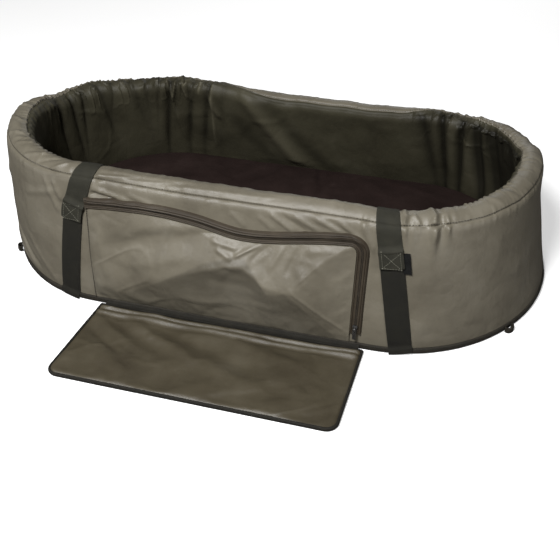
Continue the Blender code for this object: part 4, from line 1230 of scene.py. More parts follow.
def blend_across_end(piece, lower):
    """Bakes the end's cloth in place, the same for its foot as for the rest."""
    if not lower:
        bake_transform(piece)
        return
    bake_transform(piece)


def blend_up_wall(piece):
    """Bakes the cloth in place."""
    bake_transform(piece)


# The CAD pieces of a wall that each layer of its cloth stands for
LAYER_NODES = {
    "foot": ("outer_cover",), "cover": ("outer_cover", "foam"), "rim": ("rim_band",),
    "lining": ("lining",),
}


def wall_layers(name, cad_name, run, facing, hold):
    """The cloth of one stretch of wall, outside first; hold attaches each layer to its wall's body
    or bakes it in place.
    """
    cover, turn = outer_cover_grid(run)
    inside, hollow, crest = lining_grid(run)
    if name == cad_name:
        layers = [("cover", "cover_cloth", cover, OUTER, facing)]
    else:
        layers = [
            ("foot", "cover_foot", cover[:, :turn], OUTER, facing),
            ("cover", "cover_cloth", cover[:, turn - 1:], OUTER, facing),
        ]
    lowest = layers[0][0]
    layers += [
        ("rim", "rim_cloth", rim_grid(run), OUTER, (0, 0, 1)),
        ("lining", "lining_cloth", inside, LINING, toned(facing, -1)),
    ]
    for part, label, grid, finish, outward in layers:
        piece = sheet_piece(f"{name}_{label}", grid, CLOTH, finish, outward)
        # the lining's colour takes painted shade in its hollows and painted highlights on its
        # crests
        if part == "lining":
            mark_painted_light(piece, "painted_shade", hollow)
            mark_painted_light(piece, "painted_highlight", crest)
        hold(piece, part)
        stands_for = [f"{cad_name}_{node}" for node in LAYER_NODES[part]]
        if part == lowest:
            stands_for.append("base_side_band")
        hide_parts(*stands_for)
    seam = rim_seams(name, run)
    hold(seam, "seam")


RIM_SEAM = 0.0024


def rim_seams(name, run):
    """Stitches a little inside the rim band's two edges."""
    paths = []
    full = rim_full(run.place)[:, None]
    for along in (RIM_SEAM + 0 * full, full - RIM_SEAM):
        base, normals = run.surface(outer_seam(run.height)[:, None] + along)
        lift = rim_lift(run.place[:, None], along, full, base) + 0.0002
        paths.append((base + normals * lift[..., None])[:, 0])
    return repeats(f"{name}_rim_stitches", paths, THREAD, RIM_STITCH)


def build_walls():
    for face, name in ((-1, "front"), (1, "back")):

        def hold(piece, part, wall=f"{name}_wall", face=face):
            if part == "cover":
                blend_up_wall(piece)
            else:
                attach(piece, wall)

        wall_layers(name, name, long_run(face), (0, face, 0), hold)

    for side, end in ((-1, "left_end"), (1, "right_end")):
        for face, half in ((-1, "front"), (1, "back")):

            def hold(piece, part, wall=f"{half}_wall", side=side):
                blend_across_end(piece, part == "foot")

            run = end_run(side, *((-END_START, 0.0) if face < 0 else (0.0, END_START)))
            wall_layers(f"{end}_{half}", end, run, (side * 0.8, face * 0.6, 0), hold)


# Base


def oval_grid(reach, edge_inset, columns, rows):
    """(x, y) places over the oval base, and how far each is across (-1 to 1)."""
    x = reach * np.sin(np.linspace(-math.pi / 2, math.pi / 2, columns)[:, None])
    across = np.linspace(-1.0, 1.0, rows)[None, :]
    width = np.maximum(base_half_width(x, edge_inset), 0.004)
    return np.broadcast_arrays(x, width * across, across)


# Wrinkles of the floor: ends in plan, in mm
FLOOR_FOLDS = in_metres(
    (14, 262, 26, 190, 6, 6), (30, 262, 46, 180, 6, -4), (70, 262, 76, 190, 7, 5),
    (-90, 255, -150, 170, 11, 3), (-40, 250, -110, 120, 11, 2.6), (-10, 220, -30, 120, 10, 2.4),
    (-240, 200, -120, 100, 14, 2), (120, 240, 230, 150, 14, 2.2), (180, 250, 330, 190, 12, 2),
)
FLOOR_CREASE_X = 0.050


def build_floor():
    inset = WALL_THICKNESS - 0.006
    reach = HALF_LENGTH - 0.004 - inset
    x, y, across = oval_grid(HALF_LENGTH - inset - 0.0045, inset, 286, 151)
    edge = (1.0 - across**6) * (1.0 - np.abs(x / reach) ** 10)
    from_crease = x - FLOOR_CREASE_X
    crease = bell(from_crease - 0.024 * y, 0.0055)
    shoulders = bell(from_crease + 0.024, 0.012) + bell(from_crease - 0.024, 0.012)
    base = points_of(x, y, 0.0)
    waves = layered_field(base, (0.16, 0.10, 0.5), 61, 3)
    cross = crease_field(base, (0.06, 0.16, 0.5), 63) - 0.3
    swell = 0.0040 + 0.0016 * waves + 0.0010 * cross + 0.0014 * shoulders - 0.0042 * crease
    top = 0.0030 + edge * (swell + line_folds(x, y, FLOOR_FOLDS))
    high = points_of(x, y, FLOOR_LOW + np.maximum(top, 0.0012))
    high = crumple("floor", high, 2, 0.008, 10, 0.0030, push=0.2, step=3)
    # the handle lands on the front half when the wall is folded, so the floor stays low there
    lid = FLOOR_HIGH + 0.0035 * smooth_step((y - 0.10) / 0.08)
    high[..., 2] = np.clip(high[..., 2], FLOOR_LOW + 0.0008, lid)
    low = points_of(x, y, FLOOR_LOW + 0.0004)
    piece = paired_piece("floor_cloth_pad", high, low, FLOOR, (0, 0, 1))
    settle(piece, "root", "floor_mesh", "floor_cover")


def build_groundsheet():
    x, y, _ = oval_grid(HALF_LENGTH - 0.0045, 0.0, 120, 46)
    low = points_of(x, y, 0.0)
    top = points_of(x, y, 0.0013 + 0.0004 * layered_field(low, (0.08, 0.08, 1.0), 71, 2))
    piece = paired_piece("groundsheet_cloth", top, low, UNDER, (0, 0, 1))
    settle(piece, "root", "groundsheet", "groundsheet")


def base_outline(spacing):
    """(foot points, outward directions) round the whole base."""
    turn = np.linspace(0.0, 1.0, 4001)[:-1] * 2 * math.pi
    x = END_REACH * np.cos(turn)
    outline = np.stack([x + np.sign(x) * STRAIGHT_HALF, HALF_WIDTH * np.sin(turn)], axis=1)
    outline = np.concatenate([outline, outline[:1]])
    length = run_of(outline)[-1]
    count = round(length / spacing)
    foot = placed_along(outline, np.arange(count) * length / count)
    return foot, ring_normals(foot)


def build_base_binding():
    foot, outward = base_outline(0.004)
    angle = np.linspace(-math.pi / 2, math.pi / 2, 13)
    middle = (BINDING_LOW + BINDING_TOP) / 2
    half = (BINDING_TOP - BINDING_LOW) / 2
    ripple = 0.0006 * soft_field(level(foot) + 0 * angle[None, :, None], (0.03, 0.03, 1.0), 81)
    out = (0.0036 + ripple) * np.cos(angle) ** 0.6
    face = upright(beside(foot, outward, out), middle + half * np.sin(angle))
    behind = beside(foot, outward, -0.0016 + 0 * angle)
    back = upright(behind, middle + (half - 0.0008) * np.sin(angle))
    piece = paired_piece("base_edge_binding", face, back, BINDING, level(outward), ring=True)
    settle(piece, "root", "binding", "base_binding")
    line = upright(foot + outward * 0.0040, middle + 0.003)
    stitches = repeats("base_binding_stitches", [line], THREAD, BASE_STITCH, closed=True)
    settle(stitches, "root", "binding")


def build_peg_loops():
    """Four loops of tape that stand out from the base."""
    angle = math.acos(0.8036)
    turn = np.linspace(0.0, math.pi, 40)
    legs = np.linspace(0.0, 0.4, 8)[:-1]
    across = np.concatenate([-1 + 0 * legs, -np.cos(turn), 1 + 0 * legs])
    out = np.concatenate([legs, 0.4 + 0.6 * np.sin(turn), legs[::-1]])
    z = np.linspace(BINDING_LOW, BINDING_LOW + 0.011, 6)
    for end, side in (("left", -1), ("right", 1)):
        for face, turned in (("front", -angle), ("back", angle)):
            x, y = END_REACH * math.cos(turned), HALF_WIDTH * math.sin(turned)
            normal = outline_normal(x, y)
            foot = (np.array([x + STRAIGHT_HALF, y]) + normal * 0.0043) * (side, 1)
            normal = normal * (side, 1)
            ahead = np.array([-normal[1], normal[0]])
            sag = 0.0006 * np.sin(np.linspace(0, math.pi, 6))[:, None] * normal
            grids = []
            for half, reach in ((0.0095, 0.0100), (0.0075, 0.0080)):
                flat = foot + across[:, None] * ahead * half + out[:, None] * normal * reach
                grids.append(upright(flat[:, None, :] + sag, z))
            name = f"peg_loop_{face}_{end}"
            piece = paired_piece(f"{name}_webbing", *grids, BINDING, level(flat - foot))
            settle(piece, "root", "webbing", name)


# Pocket

POCKET_LEFT_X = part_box("pocket_bag")[0].x
POCKET_FOOT_Z = 0.0130
KNEEL_HINGE_Z = 0.0102
ZIP_TOP_X = 0.244
ZIP_FOOT_X = 0.238
ZIP_CORNER = 0.022
ZIP_FOOT_Z = 0.036
# The zip's wavy run along the pocket's top
ZIP_WAVE_X = np.array((-270, -240, -214, -156, -99, -43, -7, 22, 58, 92, 127, 175, 222, 260)) / 1000
ZIP_WAVE_Z = np.array((
    211, 214.5, 216.5, 219, 217, 211, 203, 197.5, 197, 200.5, 206, 214, 217.5, 217.5,
)) / 1000
GUSSET_HALF = 0.010


def zip_line(spacing=0.002):
    """The zip's run, (x, z) along the pocket's top, round its corner and down; evenly spaced."""
    left = POCKET_LEFT_X - 0.003
    x = left + (ZIP_TOP_X - left) * np.linspace(0.0, 1.0, 200)
    kernel = np.exp(-np.linspace(-2.2, 2.2, 31) ** 2)
    raw = np.interp(x, ZIP_WAVE_X, ZIP_WAVE_Z)
    smooth = np.convolve(np.pad(raw, 15, mode="edge"), kernel / kernel.sum(), mode="valid")
    top = np.stack([x, smooth], axis=1)[x < ZIP_TOP_X - ZIP_CORNER - 0.001]
    angle = np.linspace(math.pi / 2, 0.0, 24)
    centre = np.array([ZIP_TOP_X - ZIP_CORNER, ZIP_WAVE_Z[-1] - ZIP_CORNER])
    corner = centre + ZIP_CORNER * np.stack([np.cos(angle), np.sin(angle)], axis=1)
    path = np.concatenate([top, corner, [[ZIP_FOOT_X, ZIP_FOOT_Z]]])
    return evenly(path, round(run_of(path)[-1] / spacing) + 1)


def band_profile(d):
    """Height of the zip's raised border at a distance from its middle, inwards positive."""
    off = np.abs(d)
    rise = smooth_step((GUSSET_HALF + 0.0014 - off) / 0.0022)
    folded = 0.0011 * bell(off - 0.0078, 0.0012)
    tape = 0.0008 * bell(off - 0.0050, 0.0008)
    groove = -0.0012 * bell(off - 0.0063, 0.0006)
    return (0.0042 + folded + tape + groove) * rise + 0.0002


def build_zip_band():
    path = zip_line()
    side = sideways(path)
    d = np.linspace(-GUSSET_HALF - 0.0012, GUSSET_HALF + 0.0012, 46)
    flat = beside(path, side, d)
    wave = layered_field(points_of(flat[..., 0], 0.0, flat[..., 1]), (0.03, 1.0, 0.03), 91, 2)
    piece = front_piece("zip_border", flat, band_profile(d) + 0.0005 * wave, -0.0015, ZIP_TAPE_AND_FLAP_SHADE)
    settle(piece, "front_wall", "coated_nylon", "pocket_gusset")
    half_turn = np.gradient(path, axis=0) / 2
    coils = (path - side * 0.0013, path + side * 0.0013 + half_turn)
    coil = repeats("zip_coil", [on_front(line, 0.0046) for line in coils], COIL, ZIP_COIL)
    settle(coil, "front_wall", "zip_coil", "zip_chain")
    lines = [on_front(path + side * offset, 0.0049) for offset in (-0.0088, 0.0088)]
    stitches = repeats("zip_border_stitches", lines, THREAD, ZIP_STITCH)
    settle(stitches, "front_wall", "coated_nylon")


def build_flap():
    """The double-ridged flap over the upper left of the zip."""
    path = zip_line()
    path = path[path[:, 0] < 0.205]
    share = np.linspace(0.0, 1.0, len(path))
    d = np.linspace(-1.0, 1.0, 26)
    reach = 0.0080 - 0.0030 * smooth_step((share - 0.55) / 0.4)
    middle = -0.0052 + 0.0010 * np.sin(share * 7.0)
    flat = beside(path, sideways(path), middle[:, None] + reach[:, None] / 2 * d)
    ridge = bell(d - 0.52, 0.24) + 0.9 * bell(d + 0.52, 0.24)
    fade = 0.35 + 0.65 * smooth_step(share / 0.02) * smooth_step((1 - share) / 0.05)
    stand = fade[:, None] * (0.0050 + (0.0008 + 0.0016 * ridge) * (1 - d**8))
    # painted shade: the flap takes the darker zip tape cloth in place of the outer cloth
    piece = front_piece("zip_flap", flat, stand, 0.0030, ZIP_TAPE_AND_FLAP_SHADE)
    settle(piece, "front_wall", "coated_nylon", "storm_flap")


# The pocket's main fold: its ridge from the low left corner up to the middle and down to the right
RIDGE_X = np.array((
    -262, -240, -215, -177, -100, -33, 12, 42, 63, 86, 106, 127, 151, 176, 200, 226,
)) / 1000
RIDGE_Z = np.array((30, 30, 34, 50, 100, 143, 160, 162, 138, 106, 109, 119, 93, 71, 50, 34)) / 1000
RIDGE_OUT = np.array((4, 8, 9.5, 13, 24, 28, 26, 25, 25, 25.5, 26.2, 28.5, 22.5, 17, 12, 6)) / 1000
UPPER_SLOPE_X = np.array((-262, -200, -177, -100, -15, 26, 55, 94, 128, 151, 175, 202, 240)) / 1000
UPPER_SLOPE = (0.08, 0.07, 0.075, 0.21, 0.42, 0.58, 0.48, 0.36, 0.32, 0.34, 0.42, 0.66, 0.86)
# Smaller folds: ends in the wall's plane, in mm, valleys with a negative height
POCKET_FOLDS = in_metres(
    (-34, 196, 66, 190, 4.6, -6.2), (68, 188, 24, 164, 3.6, 5.2), (30, 176, -20, 186, 6, 3.6),
    (20, 160, -10, 172, 5, 4), (86, 190, 52, 158, 5, -2.6), (112, 194, 86, 150, 6, 2.4),
    (140, 200, 118, 146, 6, -2.6), (150, 190, 196, 200, 7, 3), (-236, 200, -190, 186, 5, -3.4),
    (-244, 203, -60, 207, 16, 6.5), (-225, 140, -30, 181, 20, -6), (-190, 100, -60, 150, 10, 1.6),
    (-238, 180, -226, 70, 7, 2.6), (-20, 110, 60, 100, 11, -1.6), (-140, 60, 20, 48, 9, 1.2),
    (-60, 52, 110, 70, 9, 1.2), (127, 120, 230, 30, 2.6, 1.8), (136, 131, 176, 176, 2.8, 1.6),
)


def pocket_swell(x, z):
    """How far the pocket's cloth stands off the wall: faces that meet in soft creases."""
    ridge_z = np.interp(x, RIDGE_X, RIDGE_Z)
    ridge_out = np.interp(x, RIDGE_X, RIDGE_OUT)
    top_z = np.interp(x, ZIP_WAVE_X, ZIP_WAVE_Z) - GUSSET_HALF
    left = 0.0016 + np.maximum(x - POCKET_LEFT_X + 0.002, 0) * 0.75
    rise = np.maximum(z - POCKET_FOOT_Z, 0) / (ridge_z - POCKET_FOOT_Z)
    low = 0.0030 + (ridge_out * 1.20 - 0.0030) * (0.60 * rise + 0.40 * rise**2)
    up = 0.0045 + np.maximum(top_z - z, 0) * np.interp(x, UPPER_SLOPE_X, UPPER_SLOPE)
    right = 0.0045 + np.maximum(0.231 - x, 0) * 0.262
    # room that the kneeling mat needs when it is folded up against the pocket
    cap = np.minimum(0.0335, 0.0034 + 0.26 * (z - KNEEL_HINGE_Z))
    blend = np.interp(x, (-0.24, -0.12, -0.05), (0.0036, 0.0026, 0.0010))
    return soft_least([left, low, up, right, cap], blend)


def coons_patch(low, top, left, right):
    """A grid of points between four edges."""
    u = np.linspace(0.0, 1.0, len(low))[:, None, None]
    v = np.linspace(0.0, 1.0, len(left))[None, :, None]
    corners = (1 - u) * ((1 - v) * low[0] + v * top[0]) + u * ((1 - v) * low[-1] + v * top[-1])
    between = (1 - v) * low[:, None] + v * top[:, None] + (1 - u) * left[None] + u * right[None]
    return between - corners


def build_pocket():
    line = zip_line(0.0025)
    inner = line + sideways(line) * (GUSSET_HALF + 0.0006)
    # the pocket's top and right edges follow the zip, and meet at its corner
    corner = int(np.argmax(inner.sum(axis=1)))
    top = evenly(inner[: corner + 1], 190)
    right = evenly(inner[corner:][::-1], 100)
    u = np.linspace(0.0, 1.0, len(top))
    v = np.linspace(0.0, 1.0, len(right))
    low_x = POCKET_LEFT_X + (inner[-1, 0] - POCKET_LEFT_X) * u
    low = np.stack([low_x, POCKET_FOOT_Z + 0 * u], axis=1)
    stretch = (right[-1, 1] - POCKET_FOOT_Z) / (right[-1, 1] - right[0, 1])
    right[:, 1] = POCKET_FOOT_Z + (right[:, 1] - right[0, 1]) * stretch
    left_x = POCKET_LEFT_X - 0.002
    left = np.stack([
        left_x + (top[0, 0] - left_x) * smooth_step((v - 0.70) / 0.30),
        POCKET_FOOT_Z + (top[0, 1] - POCKET_FOOT_Z) * v,
    ], axis=1)
    flat = coons_patch(low, top, left, right)
    x, z = flat[..., 0], flat[..., 1]
    swell = pocket_swell(x, z)
    place = points_of(x, 0.0, z)
    turned = points_of(x * 0.86 + z * 0.50, 0.0, -x * 0.50 + z * 0.86)
    creases = (
        (soft_field(turned, (0.12, 1.0, 0.050), 101), 0.0005),
        (layered_field(place, (0.090, 1.0, 0.18), 103, 2), 0.0009),
        (crease_field(turned, (0.12, 1.0, 0.06), 105, 0.10) - 0.15, 0.0008),
        (crease_field(place, (0.07, 1.0, 0.12), 107, 0.10) - 0.15, 0.0006),
    )
    free = smooth_step((swell - 0.0030) / 0.008)
    folded = line_folds(x, z, POCKET_FOLDS) + sum(field * height for field, height in creases)
    face = on_front(flat, np.maximum(swell + free * folded, 0.0009))
    face = crumple("pocket", face, 2, 0.010, 12, 0.0018, push=0.3)
    face[..., 1] = np.minimum(face[..., 1], on_front(flat, 0.0008)[..., 1])
    piece = paired_piece("pocket_cloth", face, on_front(flat, -0.0004), OUTER, (0, -1, 0))
    # painted shade: the face under the main fold's ridge is darkened in its colour, as it lies in
    # the ridge's shade
    below = smooth_step((np.interp(x, RIDGE_X, RIDGE_Z) - z + 0.004) / 0.008)
    shade = 0.34 * below * smooth_step((x + 0.235) / 0.06)
    shade = shade * smooth_step((0.120 - 0.9 * (z - 0.118) - x) / 0.010)
    mark_painted_light(piece, "painted_shade", shade)
    blend_up_wall(piece)
    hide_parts("pocket_bag")
    seam = on_front(left + (0.0022, 0.0), 0.0032)
    stitches = repeats("pocket_seam_stitches", [seam], THREAD, POCKET_STITCH)
    settle(stitches, "front_wall", "coated_nylon")


# Webbing


# Where the straps end inside the front wall, as a distance up its face and over its rim
STRAP_END = FRONT_HEIGHT - RIM_RADIUS + math.pi * RIM_RADIUS + 0.006


def eased(values, width):
    """Values along a path with its corners rounded, ends held."""
    kernel = np.exp(-np.linspace(-2, 2, 2 * width + 1) ** 2)
    padded = np.concatenate([
        values[0] - (values[width:0:-1] - values[0]),
        values,
        values[-1] - (values[-2:-width - 2:-1] - values[-1]),
    ])
    return np.convolve(padded, kernel / kernel.sum(), mode="valid")


def strap_piece(name, middle, along, face, back, finish, facing):
    """A run of strap over the front's stations, between two distances out from the cloth."""
    path = np.stack([middle, along], axis=1)
    across = np.linspace(-0.5, 0.5, 17)
    flat = beside(path, sideways(path), across * STRAP_WIDTH)
    edge = 0.0005 * np.abs(across * 2) ** 10
    return front_piece(name, flat, face[:, None] - edge, back[:, None] - edge, finish, facing)


def build_straps():
    for side, label in ((-1, "left"), (1, "right")):
        name = f"front_strap_{label}"
        z = np.linspace(BINDING_LOW + 0.002, STRAP_BOX_Z + 0.017, 86)
        slope = (STRAP_BOX_X - STRAP_FOOT_X) / (STRAP_BOX_Z - BINDING_TOP)
        x = side * (STRAP_FOOT_X + slope * (z - BINDING_TOP))
        stand = 0.0006 + 0.0040 * smooth_step((0.020 - z) / 0.010)
        lower = (f"{name}_lower_webbing", x, z, stand + 0.0020, stand)
        piece = strap_piece(*lower, WEBBING_LOWER, (0, -1, 0))
        blend_up_wall(piece)
        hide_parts(name, f"front_strap_foot_{label}")
        along = np.linspace(STRAP_BOX_Z - 0.016, STRAP_END, 120)
        x = eased(strap_line(side, along), 9)
        above = along - STRAP_BOX_Z
        stand = 0.0046 * (1 - smooth_step((above - 0.014) / 0.012)) + 0.0008
        stand = stand + 0.0016 * bell(above - 0.0165, 0.0028)
        upper = (f"{name}_upper_webbing", x, along, stand + 0.0018, stand)
        piece = strap_piece(*upper, WEBBING_UPPER, (0, -0.6, 0.6))
        settle(piece, "front_wall", "webbing", name)
        build_box_stitches(name, side)


# The corners that the box's thread passes, in turn
BOX_PATH = ((-1, -1), (1, -1), (1, 1), (-1, 1), (-1, -1), (1, 1), (-1, 1), (1, -1))


def build_box_stitches(name, side):
    """The box with a cross that sews the strap's two runs together."""
    lean = side * (STRAP_BOX_X - STRAP_FOOT_X) / STRAP_BOX_Z
    corners = np.array(BOX_PATH) * BOX_SIDE / 2
    lines = []
    for start, end in zip(corners[:-1], corners[1:]):
        u, v = (start + (end - start) * np.linspace(0.0, 1.0, 12)[:, None]).T
        flat = np.stack([side * STRAP_BOX_X + u + lean * v, STRAP_BOX_Z + v], axis=1)
        lines.append(on_front(flat, 0.0076))
    stitches = repeats(f"{name}_box_stitches", lines, PALE_THREAD, BOX_STITCH)
    settle(stitches, "front_wall", "webbing")


# The tab's cloth hangs this much below its CAD piece
TAB_LONGER = 0.008


def build_label_tab():
    z = np.linspace(TAB_LOW.z - TAB_LONGER, TAB_HIGH.z, 20)[:, None]
    across = np.linspace(0.0, 1.0, 10)[None, :]
    lean = (STRAP_FOOT_X - STRAP_BOX_X) * (STRAP_BOX_Z - z) / STRAP_BOX_Z
    x = STRAP_BOX_X + STRAP_WIDTH / 2 + lean - 0.002 + 0.0125 * across
    flat = np.stack(np.broadcast_arrays(x, z), axis=2)
    stand = 0.0008 + 0.0014 * across**2 + 0.0004 * np.sin(z * 300)
    piece = front_piece("side_tab_tape", flat, stand + 0.0022, stand, TAB)
    settle(piece, "front_wall", "label", "label_tab")


def build_handle():
    half = (RIGHT_STRAP_TOP_X - LEFT_STRAP_TOP_X) / 2
    middle = (RIGHT_STRAP_TOP_X + LEFT_STRAP_TOP_X) / 2
    top = FRONT_HEIGHT - WALL_THICKNESS / 2
    depth = 0.118
    leg = 0.12
    turn = np.linspace(0.0, math.pi, 150)[1:-1]
    sweep = -np.sign(np.cos(turn)) * np.abs(np.cos(turn)) ** 0.8
    sag = leg + (1 - leg) * np.sin(turn) ** 0.7
    x = np.concatenate([[-1.0, -1.0], sweep, [1.0, 1.0]]) * half + middle
    z = top - depth * np.concatenate([[0.0, leg], sag, [leg, 0.0]])
    path = evenly(np.stack([x, z], axis=1), 200)
    side = sideways(path)
    for _ in range(12):
        side[1:-1] = (side[:-2] + side[1:-1] * 2 + side[2:]) / 4
    across = np.linspace(-0.5, 0.5, 15)
    flat = beside(path, unit(side), across * STRAP_WIDTH)
    y = HANDLE_HIGH.y + 0.0003 * (1 - np.abs(across * 2) ** 4)
    face, back = (points_of(flat[..., 0], y + out, flat[..., 1]) for out in (0.0001, -0.0019))
    piece = paired_piece("carry_handle_webbing", face, back, WEBBING_UPPER, (0, 1, 0))
    settle(piece, "carry_handle", "webbing", "carry_handle")


# Kneeling mat

KNEEL_HALF = (KNEEL_HIGH.x - KNEEL_LOW.x) / 2
KNEEL_LEFT = KNEEL_LOW.x - KNEEL_WIDER
KNEEL_RIGHT = KNEEL_HIGH.x + KNEEL_WIDER
KNEEL_FRONT = KNEEL_LOW.y + KNEEL_SHORTER
KNEEL_BACK = KNEEL_HIGH.y + KNEEL_NEARER
KNEEL_CORNER = 0.022
KNEEL_SPAN_X = 0.49
KNEEL_SPAN_Y = 0.205


def slanted(x, y):
    """Draws the mat's left side outwards towards its front."""
    forwards = (KNEEL_BACK - y) / (KNEEL_BACK - KNEEL_FRONT)
    return x + KNEEL_SLANT * forwards * np.minimum(x / KNEEL_HALF, 0.0)


def kneel_grid(inset, columns, rows):
    """Points over the mat's plan, rounded at its two front corners."""
    left, right = KNEEL_LEFT + inset, KNEEL_RIGHT - inset
    back, front = KNEEL_BACK - inset, KNEEL_FRONT + inset
    turn = max(KNEEL_CORNER - inset, 0.006)
    u = np.linspace(0.0, 1.0, columns)[:, None]
    v = np.linspace(0.0, 1.0, rows)[None, :]
    past = np.clip(turn - (1 - v) * (back - front), 0.0, turn)
    cut = turn - np.sqrt(np.maximum(turn**2 - past**2, 0.0))
    x = (left + cut) + (right - left - 2 * cut) * u
    y = back - v * (back - front) + 0 * x
    return slanted(x, y), y, u, v


# Wrinkles of the kneeling mat: ends in plan, in mm
KNEEL_FOLDS = in_metres(
    (-242, -362, -130, -430, 11, 3.4), (-238, -392, -150, -450, 9, -3.4),
    (-200, -360, -60, -440, 13, -3), (-170, -360, -20, -430, 12, 3),
    (-110, -360, 80, -430, 15, -2.2), (-232, -430, -110, -500, 14, 2.6),
    (-60, -420, 130, -480, 18, 2), (40, -366, 200, -410, 13, 1.8),
    (120, -430, 225, -495, 17, 1.6), (-20, -480, 130, -512, 14, 1.4),
)


def build_kneeling_mat():
    x, y, u, v = kneel_grid(0.003, 250, 110)
    from_back = v * KNEEL_SPAN_Y
    edge = np.minimum(np.minimum(u, 1 - u) * KNEEL_SPAN_X, np.minimum(v, 1 - v) * KNEEL_SPAN_Y)
    round_off = np.sqrt(np.clip(1 - (1 - np.clip(edge / 0.010, 0, 1)) ** 2, 0, 1))
    place = points_of(x, y, 0.0)
    turned = points_of(x * 0.86 + y * 0.5, -x * 0.5 + y * 0.86, 0.0)
    broad = layered_field(place, (0.14, 0.10, 1.0), 111, 2)
    diagonal = soft_field(turned, (0.16, 0.034, 1.0), 113)
    crinkle = crease_field(turned, (0.12, 0.05, 1.0), 115) - 0.25
    ridges = 1.1 * bell(from_back - 0.008, 0.0038)
    ridges = ridges + 1.3 * bell(from_back - 0.0215 - 0.0015 * np.sin(x * 17.0), 0.0050)
    dip = bell(from_back - 0.0145, 0.0032) + 0.5 * bell(from_back - 0.031, 0.005)
    swell = 0.0058 + 0.0016 * broad + 0.0010 * diagonal + 0.0006 * crinkle
    swell = swell + 0.0026 * ridges - 0.0022 * dip + line_folds(x, y, KNEEL_FOLDS)
    high = points_of(x, y, 0.0030 + swell * round_off)
    high = crumple("kneeling_mat", high, 3, 0.010, 12, 0.0014, push=0.3)
    high[..., 2] = np.clip(high[..., 2], 0.0022, 0.0160)
    low = points_of(x, y, 0.0006)
    piece = paired_piece("kneeling_mat_pad", high, low, KNEEL, (0, 0, 1))
    solids = ("kneel_top_cover", "kneel_foam", "kneel_base_cover")
    settle(piece, "kneeling_mat", "kneel_nylon", *solids)
    build_kneel_binding()
    build_kneel_strip()


def kneel_edge(inset):
    """The mat's outline, evenly spaced, anticlockwise from its back left corner."""
    corners = (
        (KNEEL_LEFT + inset, KNEEL_BACK - inset, 0.004, (1, -1), 90),
        (KNEEL_LEFT + inset, KNEEL_FRONT + inset, KNEEL_CORNER, (1, 1), 180),
        (KNEEL_RIGHT - inset, KNEEL_FRONT + inset, KNEEL_CORNER, (-1, 1), 270),
        (KNEEL_RIGHT - inset, KNEEL_BACK - inset, 0.004, (-1, -1), 0),
    )
    parts = []
    for x, y, radius, inwards, start in corners:
        radius = max(radius - inset, 0.002)
        centre = np.array([x, y]) + radius * np.array(inwards)
        angle = np.radians(np.linspace(start, start + 90, 16))
        parts.append(centre + radius * np.stack([np.cos(angle), np.sin(angle)], axis=1))
    path = np.concatenate(parts)
    path[:, 0] = slanted(path[:, 0], path[:, 1])
    return evenly(np.concatenate([path, path[:1]]), 520)[:-1]


def build_kneel_binding():
    outline = kneel_edge(0.0)
    inward = -ring_normals(outline)
    angle = np.radians(np.linspace(-118, 118, 15))
    wave = soft_field(upright(outline, 0.0), (0.05, 0.05, 1.0), 121)[:, None]
    half_height = 0.0040 + 0.0004 * wave
    middle = 0.0045
    depth = 0.0028 * (1 - np.cos(angle))
    face = upright(beside(outline, inward, depth), middle + half_height * np.sin(angle))
    inner = beside(outline, inward, 0.0012 + depth * 0.9)
    back = upright(inner, middle + (half_height - 0.0011) * np.sin(angle))
    name = "kneeling_mat_edge"
    piece = paired_piece(f"{name}_binding", face, back, KNEEL_EDGE, level(-inward), ring=True)
    settle(piece, "kneeling_mat", "binding", "kneel_binding")
    line = upright(kneel_edge(0.0036), 0.0083)
    stitches = repeats(f"{name}_stitches", [line], THREAD, KNEEL_STITCH, closed=True)
    settle(stitches, "kneeling_mat", "binding")


def build_kneel_strip():
    """The cloth strip that hinges the mat, sewn 6 mm over the mat and 1 mm over the base."""
    low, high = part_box("kneel_hinge_strip")
    x = np.linspace(low.x, high.x, 180)[:, None]
    y = np.linspace(low.y - 0.006, high.y + 0.001, 14)[None, :]
    share = (y - low.y + 0.006) / (high.y - low.y + 0.007)
    sag = -0.0022 * np.sin(math.pi * share) + 0.0004 * np.sin(x * 60.0 + 1.0)
    top = points_of(x, y, high.z + 0.0002 + sag)
    under = top - (0, 0, CLOTH)
    piece = paired_piece("kneeling_mat_hinge_cloth", top, under, KNEEL_EDGE, (0, 0, 1))
    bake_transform(piece)
    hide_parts("kneel_hinge_strip")


# Hardware that keeps its CAD shape


HARDWARE = {
    "zip_slider": METAL, "zip_puller": METAL, "floor_foam_left": FOAM, "floor_foam_right": FOAM,
}


def finish_hardware():
    for name, finish in HARDWARE.items():
        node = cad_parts[name]
        node = node if hasattr(node, "material_slots") else bpy.data.objects[name]
        for slot in node.material_slots:
            slot.material = finish


# Studio


# Lamps: name, place, what it points at, size and power
LAMPS = (
    ("key", (-0.20, -2.10, 2.36), (0.0, -0.10, 0.10), 0.7, 118.0),
    ("back", (0.0, 2.6, 1.25), (-0.2, 0.2, 0.2), 1.4, 8.0),
    ("left", (-2.3, -1.3, 0.40), (-0.3, 0.0, 0.13), 0.5, 7.0),
    ("right", (2.3, -1.7, 0.40), (0.3, 0.0, 0.13), 0.5, 13.0),
)


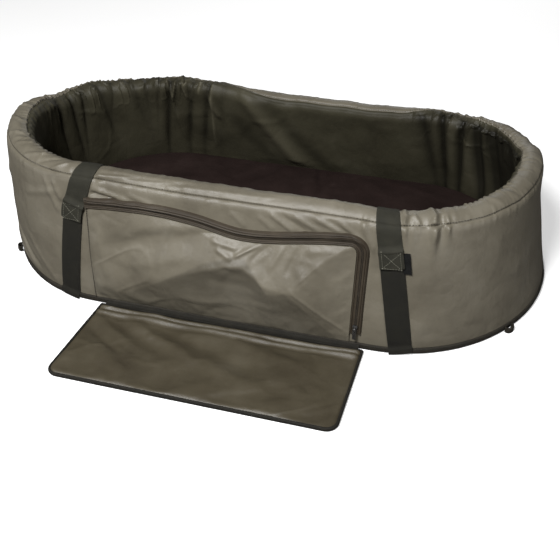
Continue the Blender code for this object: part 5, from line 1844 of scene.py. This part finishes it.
def show_camera(tree, others, camera, output):
    """Shows one shader to the camera's own rays, and the other to all the rest."""
    ray = add_node(tree, "ShaderNodeLightPath").outputs["Is Camera Ray"]
    mix = add_node(tree, "ShaderNodeMixShader", {"Fac": ray, 1: others, 2: camera})
    add_node(tree, output, {"Surface": mix.outputs["Shader"]})


def build_studio():
    scene = bpy.context.scene
    scene.world = bpy.data.worlds.new("studio")
    scene.world.use_nodes = True
    tree = scene.world.node_tree
    tree.nodes.clear()
    soft, white = (
        add_node(tree, "ShaderNodeBackground", {"Color": colour, "Strength": strength})
        for colour, strength in (((1.0, 0.99, 0.97), 0.065), ((1.0, 1.0, 1.0), 1.0))
    )
    soft, white = soft.outputs["Background"], white.outputs["Background"]
    show_camera(tree, soft, white, "ShaderNodeOutputWorld")

    size = CAMERA_DISTANCE * 6
    mesh = bpy.data.meshes.new("studio_floor")
    corners = [(-size, -size, 0), (size, -size, 0), (size, size, 0), (-size, size, 0)]
    mesh.from_pydata(corners, [], [(0, 1, 2, 3)])
    finish = bpy.data.materials.new("studio_floor")
    finish.use_nodes = True
    tree = finish.node_tree
    tree.nodes.clear()
    diffuse = add_node(tree, "ShaderNodeBsdfDiffuse", {"Color": (0.90, 0.90, 0.90)})
    glow = add_node(tree, "ShaderNodeEmission", {"Strength": 0.50})
    dim = add_node(tree, "ShaderNodeBsdfDiffuse", {"Color": (0.10, 0.095, 0.09)})
    lit = {0: glow.outputs["Emission"], 1: diffuse.outputs["BSDF"]}
    bright = add_node(tree, "ShaderNodeAddShader", lit).outputs["Shader"]
    show_camera(tree, dim.outputs["BSDF"], bright, "ShaderNodeOutputMaterial")
    floor = link_mesh("studio_floor", mesh, finish)
    floor.location.z = -0.0002

    for name, place, target, width, power in LAMPS:
        light = bpy.data.lights.new(f"{name}_light", "AREA")
        light.shape = "DISK"
        light.size = width
        light.energy = power
        lamp = linked(f"{name}_light", light)
        lamp.location = place
        lamp.rotation_euler = (Vector(target) - Vector(place)).to_track_quat("-Z", "Y").to_euler()
    scene.view_settings.view_transform = "Standard"


make_camera()
build_walls()
build_floor()
build_groundsheet()
build_base_binding()
build_peg_loops()
build_pocket()
build_zip_band()
build_flap()
build_straps()
build_label_tab()
build_handle()
build_kneeling_mat()
finish_hardware()
build_studio()
